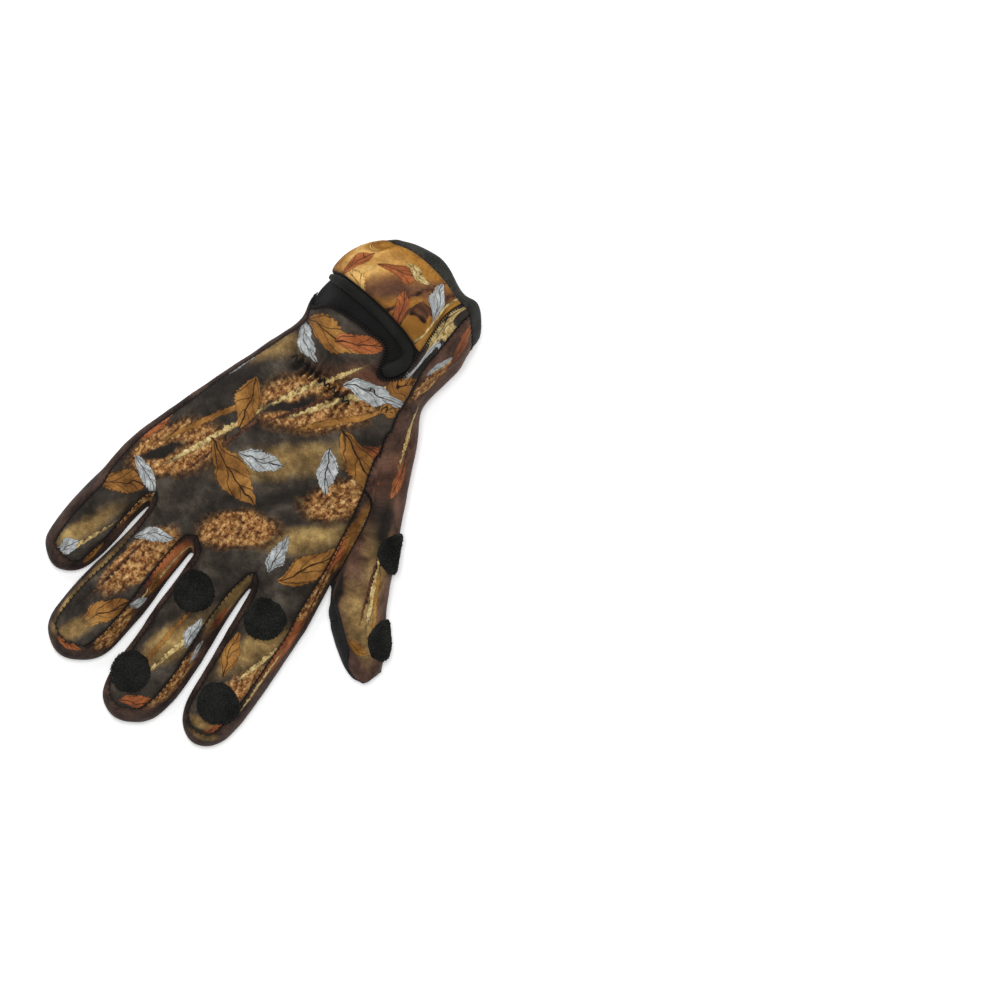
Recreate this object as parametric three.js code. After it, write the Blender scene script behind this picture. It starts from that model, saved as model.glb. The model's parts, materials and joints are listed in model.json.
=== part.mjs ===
// A neoprene fishing glove, lying palm down with its fingers towards -Y.
//
// The glove is one skin. Its shape is a coarse cage of four-sided cells around
// the hand, the fingers and the thumb. The cage is bent smooth so that the skin
// passes through the measured points, and is then parted along its seams into
// the panels that are sewn together. Each panel is given the wall of its cloth.
import * as THREE from 'three';

// ---- sizes in millimetres -------------------------------------------------
const LENGTH = 245.3;     // longest fingertip to the rim of the cuff
const WIDTH = 152.7;      // little finger to thumb, as they lie spread
const DRAWN = { length: 245.3, width: 152.7 }; // the same two in the tables below
const WALL = 2.5;         // neoprene sheet
const SEAM = 0.3;         // gap left between two sewn panels
const FOLD_SLIT = 0.9;    // gap of the slits across the fold-back fingertips
const TIGHT = 0.35;       // how far an inner cell may shrink against its outer one
const SPREAD = 1.6;       // and how far it may grow
const THINNEST = 0.3;     // share of the wall left in the tightest folds
const SAG = 1.4;          // how far the soft palm would hang below the table
const CROWN = 2.2;        // roundness of a section: 2 is an ellipse
const RIM_DROP = 3.2;     // the rim of the back curls down by this much
const STRAP_LIFT = 1.3;   // the strap rides this far above the cuff
const UNDERLAP_SINK = 1.5; // the black tab under it lies this far below
const UNDERLAP_WALL = 2.0;
const DOT_RADIUS = 9.0;   // hook and loop discs
const DOT_CLEAR = 0.5;    // below a disc, for the facets of the finger
const DOT_THICK = 1.5;
const PIPING = { wide: 2.2, high: 1.7 }; // half sizes of the rolled slit edge

// ---- hand: one row for each line across it, knuckles first ------------------
// left, right: silhouette; seamL, seamR: edges of the back panel;
// palmL, palmR: edges of the palm panel; top, mid: heights
const HAND = [
  { y: -38, left: -54.8, right: 57.6, seamL: -52.0, seamR: 51.5, palmL: -51.0, palmR: 53.5, top: 25.0, mid: 11.0 },
  { y: -18, left: -52.8, right: 56.0, seamL: -50.2, seamR: 49.2, palmL: -49.0, palmR: 49.5, top: 28.0, mid: 12.0 },
  { y: 2, left: -46.4, right: 54.5, seamL: -44.4, seamR: 45.8, palmL: -42.6, palmR: 45.5, top: 31.0, mid: 13.0 },
  { y: 22, left: -40.3, right: 52.5, seamL: -38.6, seamR: 41.0, palmL: -36.6, palmR: 41.5, top: 33.0, mid: 14.0 },
  { y: 38, left: -34.8, right: 49.5, seamL: -33.2, seamR: 36.9, palmL: -31.2, palmR: 39.0, top: 34.5, mid: 14.5 },
  { y: 50, left: -30.8, right: 47.2, seamL: -29.2, seamR: 34.5, palmL: -27.0, palmR: 37.0, top: 35.5, mid: 15.0 },
  { y: 64, left: -26.9, right: 39.2, seamL: -25.6, seamR: 31.7, palmL: -23.5, palmR: 34.5, top: 38.0, mid: 17.0 },
  { y: 76, left: -29.2, right: 39.3, seamL: -26.8, seamR: 29.8, palmL: -24.0, palmR: 34.5, top: 41.0, mid: 18.5 },
  { y: 88, left: -28.5, right: 40.9, seamL: -27.6, seamR: 29.3, palmL: -24.5, palmR: 35.0, top: 43.0, mid: 20.0 },
  { y: 102, left: -28.2, right: 39.8, seamL: -25.4, seamR: 29.8, palmL: -23.5, palmR: 34.0, top: 41.5, mid: 19.5 },
  { y: 112, left: -27.5, right: 39.4, seamL: -19.5, seamR: 30.5, palmL: -22.0, palmR: 33.0, top: 38.0, mid: 18.5 },
  { y: 122, left: -26.5, right: 38.5, seamL: -17.0, seamR: 31.0, palmL: -21.0, palmR: 32.0, top: 33.0, mid: 17.0 },
];
// where the nine lines along the back stand between its two seams
const SHARE_KNUCKLES = [0, 0.09, 0.217, 0.35, 0.462, 0.63, 0.744, 0.885, 1];
const SHARE_WRIST = [0, 0.1, 0.2, 0.32, 0.44, 0.575, 0.715, 0.857, 1];
// edges cut across the back of the cuff, as [x, y] on the nine lines
const SLIT_EDGE = [[-27, 70.5], [-22, 74.6], [-14.5, 76.8], [-6, 77.4], [3, 77.2], [11.2, 75.2], [15.2, 64.8], [23.8, 70.2], [29.8, 75]];
const STRAP_LOW = [[-27.4, 89.2], [-21.5, 90], [-14, 90], [-6, 89.6], [2, 88.8], [9.5, 87.4], [16.5, 85.8], [23.4, 83.6], [29.3, 86]];
const STRAP_HIGH = [[-19.2, 111.9], [-14.3, 114.5], [-9, 116.1], [-3, 116.9], [3.2, 116.7], [10.5, 115.6], [17.8, 113.8], [24.5, 112], [30.5, 110.3]];
const RIM = [[-17.4, 114.4], [-13.2, 117.6], [-8, 120], [-2.8, 121.5], [3.2, 122.5], [9.6, 121.5], [16.4, 118.5], [24, 116.6], [31.8, 116]];
// the cuff's last rows dip at the sides: side points, and the palm's y at its
// two edges with how far its middle reaches beyond them
const CUFF_DIP = {
  9: { left: [-28.0, 94.5], right: [40.4, 93.6], palm: 96, bow: 3 },
  10: { left: [-27.2, 101], right: [39.7, 99.5], palm: 103, bow: 7 },
  11: { left: [-26.6, 105.4], right: [39.7, 105.4], palm: 108, bow: 8 },
};

// ---- fingers: silhouette rows from root to tip -------------------------------
// seamL, seamR, seamTip: how far the back seam lies inside the silhouette;
// rootL, rootR: the same where the seam turns round a crotch
const FINGERS = [
  { name: 'pinky', tip: [-45.4, -87.0], seamL: 4.6, seamR: 3.4, seamTip: 5.4, rootR: 3.2, root: 21.0, end: 17.0,
    rows: [[-46, -55.6, -30.5], [-58, -57.0, -31.3], [-70, -57.5, -32.6], [-79, -56.5, -34.8]] },
  { name: 'ring', tip: [-20.3, -116.0], seamL: 3.2, seamR: 6.9, seamTip: 6.0, rootL: 2.0, rootR: 6.2, root: 22.5, end: 18.0,
    rows: [[-49, -28.9, -2.8], [-66, -30.8, -2.8], [-82, -33.2, -2.6], [-97, -34.2, -3.6], [-107, -32.8, -6.6]] },
  { name: 'middle', tip: [15.0, -122.8], seamL: 1.8, seamR: 6.6, seamTip: 4.8, rootL: 1.9, rootR: 5.0, root: 22.5, end: 18.0,
    rows: [[-50, -0.4, 27.2], [-67, 0.2, 28.8], [-84, 1.1, 30.8], [-101, 1.7, 31.4], [-113, 3.4, 28.9]] },
  { name: 'index', tip: [48.7, -110.6], seamL: 2.0, seamR: 5.2, seamTip: 4.7, rootL: 1.6, root: 22.0, end: 17.5,
    rows: [[-47, 29.2, 58.5], [-62, 31.4, 59.6], [-77, 33.3, 60.5], [-92, 35.1, 60.9], [-102, 37.5, 59.4]] },
];
// crotches between the fingers: the turn of the back seam and the gap's end
const CROTCHES = [
  { seam: [-30.0, -34.7], gap: [-28.9, -41.2] },
  { seam: [-4.4, -38.8], gap: [-1.6, -45.2] },
  { seam: [25.6, -35.8], gap: [27.6, -42.2] },
];
const PALM_INSET = 3.4;
const TURN_RISE = 4.2;    // how far the seam's turn is drawn up beside a crotch

// ---- thumb: rings from its root to its tip -----------------------------------
// inner, outer: silhouette on the finger side and on the free side
const THUMB = [
  { inner: [57.3, -23.2], outer: [60.5, 23.8], mid: 12.8, half: 11.0, turn: [164, 126, 94, 62, 30, -4, -44, -74, -104, -134, -162] },
  { inner: [60.0, -28.1], outer: [72.4, 1.6], mid: 12.2, half: 11.2, turn: [143, 112, 86, 56, 25, -9, -48, -78, -108, -140, -172] },
  { inner: [63.9, -32.3], outer: [79.8, -12.4], mid: 11.6, half: 11.0, turn: [128, 101, 76, 48, 20, -12, -50, -80, -110, -145, -184] },
  { inner: [70.1, -37.4], outer: [86.2, -20.6], mid: 11.0, half: 10.6, turn: [125, 99, 75, 48, 20, -12, -50, -80, -110, -145, -190] },
  { inner: [76.7, -41.8], outer: [92.0, -28.2], mid: 10.0, half: 9.4, turn: [127, 101, 75, 48, 20, -12, -50, -80, -110, -145, -190] },
];
// seam over the thumb's tip, from the inner to the outer side
const THUMB_TIP = [[82.0, -43.1, 12.5], [85.6, -44.9, 10.6], [88.7, -45.6, 9.4], [91.4, -45.0, 8.6], [93.4, -42.6, 7.8], [94.5, -39.2, 6.8], [94.7, -35.0, 5.4]];
// the tongue of the index finger's strip between the back and the thumb
const TONGUE = [[51.4, 2], [47.8, 18]];

// ---- dots: plan positions -----------------------------------------------------
const DOTS = [
  ['dot_middle_base', 9.3, -58.0], ['dot_middle_tip', 9.0, -102.6],
  ['dot_index_base', 40.7, -48.9], ['dot_index_tip', 47.6, -90.2],
  ['dot_thumb_base', 68.3, 8.2], ['dot_thumb_tip', 88.1, -23.7],
];
// centre line of the rolled edge along the strap and round the slit's end
const PIPING_PATH = [[-27.2, 86.4], [-21.5, 87.2], [-14, 87.2], [-6, 86.8], [2, 86], [9, 84.7], [15, 83], [19.2, 80.6], [20.8, 77], [20.4, 73.4], [18.4, 70.4], [16, 68.8]];

// ---- small helpers --------------------------------------------------------------
const add = (a, b, k = 1) => [a[0] + b[0] * k, a[1] + b[1] * k, a[2] + b[2] * k];
const dot = (a, b) => a[0] * b[0] + a[1] * b[1] + a[2] * b[2];
const cross = (a, b) => [a[1] * b[2] - a[2] * b[1], a[2] * b[0] - a[0] * b[2], a[0] * b[1] - a[1] * b[0]];
const unit = a => { const l = Math.hypot(...a) || 1; return a.map(v => v / l); };
const lerp = (a, b, t) => a + (b - a) * t;
const round = r => Math.pow(Math.max(0, 1 - Math.pow(Math.min(Math.abs(r), 1), CROWN)), 1 / CROWN);

// the hand's section at y, read between two rows of the table
function section(y) {
  let i = 0;
  while (i < HAND.length - 2 && y > HAND[i + 1].y) i++;
  const a = HAND[i], b = HAND[i + 1];
  const t = Math.min(1, Math.max(0, (y - a.y) / (b.y - a.y)));
  const s = {};
  for (const k of ['left', 'right', 'top', 'mid']) s[k] = lerp(a[k], b[k], t);
  return s;
}
// height of the hand's skin over (x, y): side 1 is the back, -1 the palm
function skin(x, y, side) {
  const s = section(y);
  const r = (x - (s.left + s.right) / 2) / ((s.right - s.left) / 2);
  return side > 0 ? s.mid + (s.top - s.mid) * round(r) : s.mid - (s.mid + SAG) * round(r);
}

// ---- cage ------------------------------------------------------------------------
const points = [];
const cells = [];                       // { panel, at: corner numbers }
const plan = (x, y) => [x * WIDTH / DRAWN.width, y * LENGTH / DRAWN.length];
const point = (x, y, z) => points.push([...plan(x, y), z]) - 1;
const cell = (panel, ...at) => cells.push({ panel, at });

// hand rows, each a ring: nine points on the back, the thumb side, nine on the
// palm, the little-finger side
const LAST = SHARE_WRIST.length - 1;
const hand = HAND.map((row, r) => {
  const t = Math.min(1, r / 5);
  const share = SHARE_KNUCKLES.map((s, j) => lerp(s, SHARE_WRIST[j], t));
  const back = share.map((s, j) => {
    let x = lerp(row.seamL, row.seamR, s), y = row.y;
    if (r === 0 && j % 2 === 0 && j > 0 && j < LAST) [x, y] = CROTCHES[j / 2 - 1].seam;
    if (r === 6 && j > 4 && j < LAST) y -= [2, 6, 3][j - 5];
    const cut = { 7: SLIT_EDGE, 8: STRAP_LOW, 10: STRAP_HIGH, 11: RIM }[r];
    if (cut) [x, y] = cut[j];
    return point(x, y, skin(x, y, 1) - (cut === RIM ? RIM_DROP : 0));
  });
  const dip = CUFF_DIP[r];
  const at = (end, x) => (dip ? [...dip[end], row.mid] : [x, row.y, row.mid]);
  // at the thumb's crotch the side point is the end of the gap
  const right = r === 1 ? point(54.6, -18.6, row.mid) : r === 5 ? point(47.4, 50.4, row.mid) : point(...at('right', row.right));
  const palm = share.map((s, j) => {
    let x = lerp(row.palmL, row.palmR, s), y = row.y;
    if (dip) y = dip.palm + dip.bow * (1 - (2 * s - 1) ** 2);
    if (r === 0 && j % 2 === 0 && j > 0 && j < LAST) [x, y] = [CROTCHES[j / 2 - 1].gap[0], CROTCHES[j / 2 - 1].gap[1] + 2.4];
    const z = skin(x, row.y, -1);
    return point(x, y, r === 0 && j % 2 === 0 && j > 0 && j < LAST ? z + 1.5 : z);
  });
  const left = point(...at('left', row.left));
  return [...back, right, ...palm.reverse(), left];
});
const RING = hand[0].length;            // 20
const SIDE_R = LAST + 1, SIDE_L = RING - 1;
const palmAt = j => 2 * LAST + 2 - j;   // ring place of palm line j

// which panel the hand cell right of ring place i and above row r belongs to
function handPanel(i, r) {
  if (r === 10) return 'cuff_hem';
  if (i < LAST) return r < 7 || i === LAST - 1 ? 'back_panel' : 'cuff_underlap';
  if (i === LAST || i === SIDE_R) return r === 0 ? 'side_strip_index' : r < 5 ? null : 'thumb_back';
  if (i < palmAt(0)) return 'palm_panel';
  return r < 7 ? 'side_strip_pinky' : 'cuff_underlap';
}
for (let r = 0; r < hand.length - 1; r++) {
  for (let i = 0; i < RING; i++) {
    const panel = handPanel(i, r), k = (i + 1) % RING;
    if (panel) cell(panel, hand[r][i], hand[r][k], hand[r + 1][k], hand[r + 1][i]);
  }
}

// crotches: the gap's end between two fingers
const gaps = CROTCHES.map(c => point(...c.gap, 11.5));

// fingers: rings of eight (seam, ridge, seam, side, palm x3, side)
FINGERS.forEach((f, n) => {
  const rings = f.rows.map(([y, left, right], k) => {
    const c = (left + right) / 2, a = (right - left) / 2;
    const top = lerp(f.root, f.end, k / (f.rows.length - 1)), mid = top * 0.47;
    const on = (x, side, rise = 0) => point(x, y + rise, side > 0 ? mid + (top - mid) * round((x - c) / a) : mid - (mid + SAG) * round((x - c) / a));
    // beside a crotch the first row's seam is drawn up into the turn
    const turnL = k === 0 && f.rootL, turnR = k === 0 && f.rootR;
    const sl = left + (turnL || f.seamL), sr = right - (turnR || f.seamR);
    return [on(sl, 1, turnL ? TURN_RISE : 0), on((sl + sr) / 2, 1), on(sr, 1, turnR ? TURN_RISE : 0), point(right, y, mid),
      on(right - PALM_INSET, -1), on(c, -1), on(left + PALM_INSET, -1), point(left, y, mid)];
  });
  // tip: three seam points, three on the silhouette, three on the palm
  const [, l0, r0] = f.rows[f.rows.length - 1];
  const a = (r0 - l0) / 2, mid = f.end * 0.46, [tx, ty] = f.tip;
  const edge = [[-0.62, 0.22, f.seamL], [0, 0, f.seamTip], [0.62, 0.22, f.seamR]];
  const tip = edge.map(([sx, sy, inset], i) => {
    const g = [tx + sx * a, ty + sy * a];
    const inward = unit([-sx * 0.8, 0.75, 0]);
    const seam = i === 1 ? inset : (inset + f.seamTip) / 2;
    const put = (d, side) => {
      const r = 1 - d / a;
      return point(g[0] + inward[0] * d, g[1] + inward[1] * d,
        side > 0 ? mid + (f.end - mid) * round(r) * 0.94 : mid - (mid + SAG) * round(r));
    };
    return { top: put(seam, 1), side: point(...g, mid), palm: put(PALM_INSET + 0.6, -1) };
  });
  const end = [tip[0].top, tip[1].top, tip[2].top, tip[2].side, tip[2].palm, tip[1].palm, tip[0].palm, tip[0].side];
  const root = [hand[0][2 * n], hand[0][2 * n + 1], hand[0][2 * n + 2],
    n === 3 ? hand[0][SIDE_R] : gaps[n],
    hand[0][palmAt(2 * n + 2)], hand[0][palmAt(2 * n + 1)], hand[0][palmAt(2 * n)],
    n === 0 ? hand[0][SIDE_L] : gaps[n - 1]];
  const strip = 'side_strip_' + f.name;
  const all = [end, ...rings.reverse(), root];
  const folds = f.name === 'middle' || f.name === 'index';
  for (let r = 0; r < all.length - 1; r++) {
    for (let i = 0; i < 8; i++) {
      const k = (i + 1) % 8;
      const palm = folds && r < 2 ? 'palm_tip_' + f.name : 'palm_panel';
      const panel = i < 2 ? 'back_panel' : i === 4 || i === 5 ? palm : strip;
      cell(panel, all[r][i], all[r][k], all[r + 1][k], all[r + 1][i]);
    }
  }
  for (const [u, v] of [[0, 1], [1, 2]]) {
    cell(strip, tip[u].top, tip[u].side, tip[v].side, tip[v].top);
    cell(strip, tip[u].side, tip[u].palm, tip[v].palm, tip[v].side);
  }
});

// thumb: the hole in the hand's side is its first ring of eleven
const tongue = TONGUE.map(([x, y]) => point(x, y, skin(x, y, 1)));
const thumb = [[hand[1][SIDE_R], tongue[0], tongue[1], hand[4][LAST], hand[5][LAST], hand[5][SIDE_R],
  hand[5][palmAt(LAST)], hand[4][palmAt(LAST)], hand[3][palmAt(LAST)], hand[2][palmAt(LAST)], hand[1][palmAt(LAST)]]];
cell('side_strip_index', hand[1][LAST], hand[1][SIDE_R], tongue[0], hand[2][LAST]);
cell('side_strip_index', hand[2][LAST], tongue[0], tongue[1], hand[3][LAST]);
cell('thumb_back', hand[3][LAST], tongue[1], hand[4][LAST]);
for (const t of THUMB) {
  const half = [(t.outer[0] - t.inner[0]) / 2, (t.outer[1] - t.inner[1]) / 2];
  thumb.push(t.turn.map(deg => {
    const c = Math.cos(deg * Math.PI / 180), s = Math.sin(deg * Math.PI / 180);
    const z = s > 0 ? t.mid + t.half * s : t.mid + (t.mid + SAG) * s;
    return point(t.inner[0] + half[0] * (1 + c), t.inner[1] + half[1] * (1 + c), z);
  }));
}
const OUTER_SEAM = 6, AROUND = 11;
for (let r = 0; r < thumb.length - 1; r++) {
  for (let i = 0; i < AROUND; i++) {
    const k = (i + 1) % AROUND;
    const panel = i < OUTER_SEAM ? 'thumb_back' : r >= 3 ? 'palm_tip_thumb' : 'thumb_palm';
    cell(panel, thumb[r][i], thumb[r + 1][i], thumb[r + 1][k], thumb[r][k]);
  }
}
const tipSeam = THUMB_TIP.map(p => point(...p));
const lastRing = thumb[thumb.length - 1];
for (let i = 0; i < OUTER_SEAM; i++) cell('thumb_back', lastRing[i], tipSeam[i], tipSeam[i + 1], lastRing[i + 1]);
const palmEnd = [[6, 6, 5, 7], [7, 5, 4, 8], [8, 3, 2, 9], [9, 2, 1, 10], [10, 1, 0, 0]];
for (const [p, e, g, q] of palmEnd) cell('palm_tip_thumb', lastRing[p], tipSeam[e], tipSeam[g], lastRing[q]);
cell('palm_tip_thumb', lastRing[8], tipSeam[4], tipSeam[3]);

// ---- smooth skin through the cage -------------------------------------------------
// one Catmull-Clark step: corners first, then cell centres, then edge points
function refine(P, F) {
  const out = P.map(p => [...p]);
  const edges = new Map(), around = P.map(() => ({ f: [], e: [] }));
  const centre = F.map(({ at }) => {
    let c = [0, 0, 0];
    for (const i of at) c = add(c, P[i], 1 / at.length);
    return c;
  });
  F.forEach(({ at }, n) => at.forEach((a, i) => {
    const b = at[(i + 1) % at.length], key = Math.min(a, b) + '_' + Math.max(a, b);
    if (!edges.has(key)) edges.set(key, { a, b, f: [] });
    edges.get(key).f.push(n);
    around[a].f.push(n);
  }));
  centre.forEach(c => out.push(c));
  for (const e of edges.values()) {
    const mid = add(P[e.a], P[e.b]).map(v => v / 2);
    e.id = out.push(e.f.length === 2 ? add(mid, add(centre[e.f[0]], centre[e.f[1]])).map((v, i) => (v + mid[i]) / 4) : mid) - 1;
    e.mid = mid;
    around[e.a].e.push(e); around[e.b].e.push(e);
  }
  P.forEach((p, i) => {
    const { f, e } = around[i], open = e.filter(x => x.f.length < 2);
    if (open.length) {
      out[i] = p.map((v, k) => v * 0.75 + open.reduce((s, x) => s + P[x.a === i ? x.b : x.a][k], 0) / 8);
    } else {
      const n = f.length;
      out[i] = p.map((v, k) => (f.reduce((s, x) => s + centre[x][k], 0) / n + 2 * e.reduce((s, x) => s + x.mid[k], 0) / n + (n - 3) * v) / n);
    }
  });
  const faces = [];
  F.forEach(({ at, panel }, n) => at.forEach((a, i) => {
    const b = at[(i + 1) % at.length], z = at[(i + at.length - 1) % at.length];
    const id = (u, v) => edges.get(Math.min(u, v) + '_' + Math.max(u, v)).id;
    faces.push({ panel, at: [a, id(a, b), P.length + n, id(z, a)] });
  }));
  return { P: out, F: faces };
}
// where the points of a four-sided mesh end up on the smooth skin
function settle(P, F) {
  const sum = P.map(() => ({ n: 0, v: [0, 0, 0] })), open = new Map();
  for (const { at } of F) for (let i = 0; i < 4; i++) {
    const [a, b, c] = [at[i], at[(i + 1) % 4], at[(i + 2) % 4]];
    const d = at[(i + 3) % 4], s = sum[a];
    s.n++;
    s.v = add(add(add(s.v, P[b], 2), P[d], 2), P[c]);
    const key = Math.min(a, b) + '_' + Math.max(a, b);
    open.has(key) ? open.delete(key) : open.set(key, [a, b]);
  }
  const rim = new Map();
  for (const [a, b] of open.values()) for (const [u, v] of [[a, b], [b, a]]) rim.set(u, [...(rim.get(u) || []), v]);
  return P.map((p, i) => {
    if (rim.has(i)) return p.map((v, k) => (4 * v + rim.get(i).reduce((s, x) => s + P[x][k], 0)) / 6);
    const { n, v } = sum[i];
    return p.map((w, k) => (n * n * w + v[k]) / (n * (n + 5)));
  });
}
// move the cage until the smooth skin passes through the measured points
let control = points.map(p => [...p]);
for (let turn = 0; turn < 12; turn++) {
  const fine = refine(control, cells);
  const on = settle(fine.P, fine.F);
  control = control.map((p, i) => p.map((v, k) => v + 0.9 * (points[i][k] - on[i][k])));
}
const fine = refine(control, cells);
// the soft cloth is pressed flat where it rests
const surface = settle(fine.P, fine.F).map(([x, y, z]) => [x, y, Math.max(0, z)]);
const normals = surface.map(() => [0, 0, 0]);
for (const { at } of fine.F) {
  const n = cross(add(surface[at[2]], surface[at[0]], -1), add(surface[at[3]], surface[at[1]], -1));
  for (const i of at) normals[i] = add(normals[i], n);
}
normals.forEach((n, i) => { normals[i] = unit(n); });
// the cloth is thinner where it is folded tightly, so that its inside never crosses
const depth = surface.map(() => 1);
const within = i => add(surface[i], normals[i], -WALL * depth[i]);
for (let turn = 0; turn < 40; turn++) {
  for (const { at } of fine.F) for (let i = 0; i < 4; i++) for (const k of [1, 2]) {
    const a = at[i], b = at[(i + k) % 4], e = add(surface[b], surface[a], -1);
    const d = add(within(b), within(a), -1);
    if (dot(d, e) < TIGHT * dot(e, e) || dot(d, d) > SPREAD * SPREAD * dot(e, e)) {
      for (const v of [a, b]) depth[v] = Math.max(THINNEST, depth[v] * 0.93);
    }
  }
}

// ---- solids ----------------------------------------------------------------------
const group = new THREE.Group();
group.name = 'fishing_glove';
function put(name, colour, verts, tris) {
  const g = new THREE.BufferGeometry();
  g.setAttribute('position', new THREE.Float32BufferAttribute(verts.flat(), 3));
  g.setIndex(tris.flat());
  g.computeVertexNormals();
  const mesh = new THREE.Mesh(g, new THREE.MeshStandardMaterial({ color: colour, roughness: 0.9, flatShading: true }));
  mesh.name = name;
  group.add(mesh);
}

// a panel of cloth: its cells, lifted, with a wall below and its edges drawn back
function panel(name, colour, { lift = 0, wall = WALL, from = name, keep = () => true, slit = null, margin = SEAM / 2 } = {}) {
  const faces = fine.F.filter((f, n) => f.panel === from && keep(f));
  const edge = new Map();
  for (const { at } of faces) at.forEach((a, i) => {
    const b = at[(i + 1) % 4], back = b + '_' + a;
    edge.has(back) ? edge.delete(back) : edge.set(a + '_' + b, [a, b]);
  });
  const inward = new Map();
  for (const [a, b] of edge.values()) for (const v of [a, b]) {
    const t = unit(add(surface[b], surface[a], -1));
    inward.set(v, [...(inward.get(v) || []), unit(cross(normals[v], t))]);
  }
  // an edge is drawn back square to itself, further where it turns a corner
  const drawBack = (v, gap) => {
    const sides = inward.get(v), way = unit(sides.reduce((s, x) => add(s, x), [0, 0, 0]));
    return add([0, 0, 0], way, gap / Math.max(0.3, Math.min(...sides.map(x => dot(x, way)))));
  };
  const number = new Map(), outer = [], inner = [];
  const use = i => {
    if (!number.has(i)) {
      number.set(i, outer.length);
      const gap = slit && slit(i) ? FOLD_SLIT / 2 : margin;
      const base = inward.has(i) ? add(surface[i], drawBack(i, gap)) : surface[i];
      // a lifted panel doesn't reach below the table either
      for (const [side, rise] of [[outer, lift], [inner, lift - wall * depth[i]]]) {
        const [x, y, z] = add(base, normals[i], rise);
        side.push([x, y, side === outer ? Math.max(0, z) : z]);
      }
    }
    return number.get(i);
  };
  const tris = [];
  const quads = faces.map(({ at }) => at.map(use));
  const count = outer.length;
  for (const [a, b, c, d] of quads) {
    tris.push([a, b, c], [a, c, d]);
    tris.push([c + count, b + count, a + count], [d + count, c + count, a + count]);
  }
  for (const [i, j] of edge.values()) {
    const a = number.get(i), b = number.get(j);
    // both panels of a seam cross its wall along the same diagonal
    if (i < j) tris.push([b, a, b + count], [a, a + count, b + count]);
    else tris.push([b, a, a + count], [b, a + count, b + count]);
  }
  put(name, colour, [...outer, ...inner], tris);
}

const CAMO = 0x6b5138, BLACK = 0x1d1d20, FUZZ = 0x141416, PRINT = 0xa9773c;
const slitLines = new Set();            // points on the fold-back slits
for (const name of ['palm_tip_middle', 'palm_tip_index', 'palm_tip_thumb']) {
  const mine = new Set(fine.F.filter(f => f.panel === name).flatMap(f => f.at));
  const palm = name === 'palm_tip_thumb' ? 'thumb_palm' : 'palm_panel';
  for (const f of fine.F) if (f.panel === palm) for (const i of f.at) if (mine.has(i)) slitLines.add(i);
}
const slit = i => slitLines.has(i);
panel('back_panel', CAMO);
panel('palm_panel', BLACK, { slit });
for (const f of FINGERS) panel('side_strip_' + f.name, f.name === 'ring' ? PRINT : CAMO);
panel('thumb_back', CAMO);
panel('thumb_palm', BLACK, { slit, margin: SEAM });
for (const n of ['middle', 'index', 'thumb']) panel('palm_tip_' + n, BLACK, { slit });
panel('cuff_underlap', FUZZ, { lift: -UNDERLAP_SINK, wall: UNDERLAP_WALL, margin: 1.5 * SEAM });
panel('cuff_hem', BLACK);
// the strap covers the underlap above the slit: cells beyond the strap's lower edge
const low = new Set(hand[8]);
const strapCells = new Set();
cells.forEach((c, n) => {
  if (c.panel === 'cuff_underlap' && c.at.filter(i => low.has(i)).length && !c.at.some(i => hand[7].includes(i))) strapCells.add(n);
  if (c.panel === 'cuff_underlap' && c.at.some(i => hand[10].includes(i))) strapCells.add(n);
});
const parent = [];
cells.forEach((c, n) => c.at.forEach(() => parent.push(n)));
fine.F.forEach((f, n) => { f.parent = parent[n]; });
panel('wrist_strap', PRINT, { from: 'cuff_underlap', lift: STRAP_LIFT, keep: f => strapCells.has(f.parent) });

// nearest crossing of a line with the skin, from far along its direction
const triangles = fine.F.flatMap(({ at: [a, b, c, d] }) => [[a, b, c], [a, c, d]]);
function meet(from, dir) {
  let best = null;
  for (const t of triangles) {
    const [A, B, C] = t.map(i => surface[i]);
    const e1 = add(B, A, -1), e2 = add(C, A, -1), h = cross(dir, e2), det = dot(e1, h);
    if (Math.abs(det) < 1e-9) continue;
    const s = add(from, A, -1), u = dot(s, h) / det;
    if (u < -1e-6 || u > 1 + 1e-6) continue;
    const q = cross(s, e1), v = dot(dir, q) / det;
    if (v < -1e-6 || u + v > 1 + 1e-6) continue;
    const far = dot(e2, q) / det;
    if (best === null || far < best.far) {
      const n = unit(t.reduce((m, i, k) => add(m, normals[i], [1 - u - v, u, v][k]), [0, 0, 0]));
      best = { far, at: add(from, dir, far), normal: n };
    }
  }
  return best;
}
const skinOver = (x, y) => meet([x, y, 100], [0, 0, -1]);     // over a finished point
const above = (x, y) => skinOver(...plan(x, y));              // over a point of the tables

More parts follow.
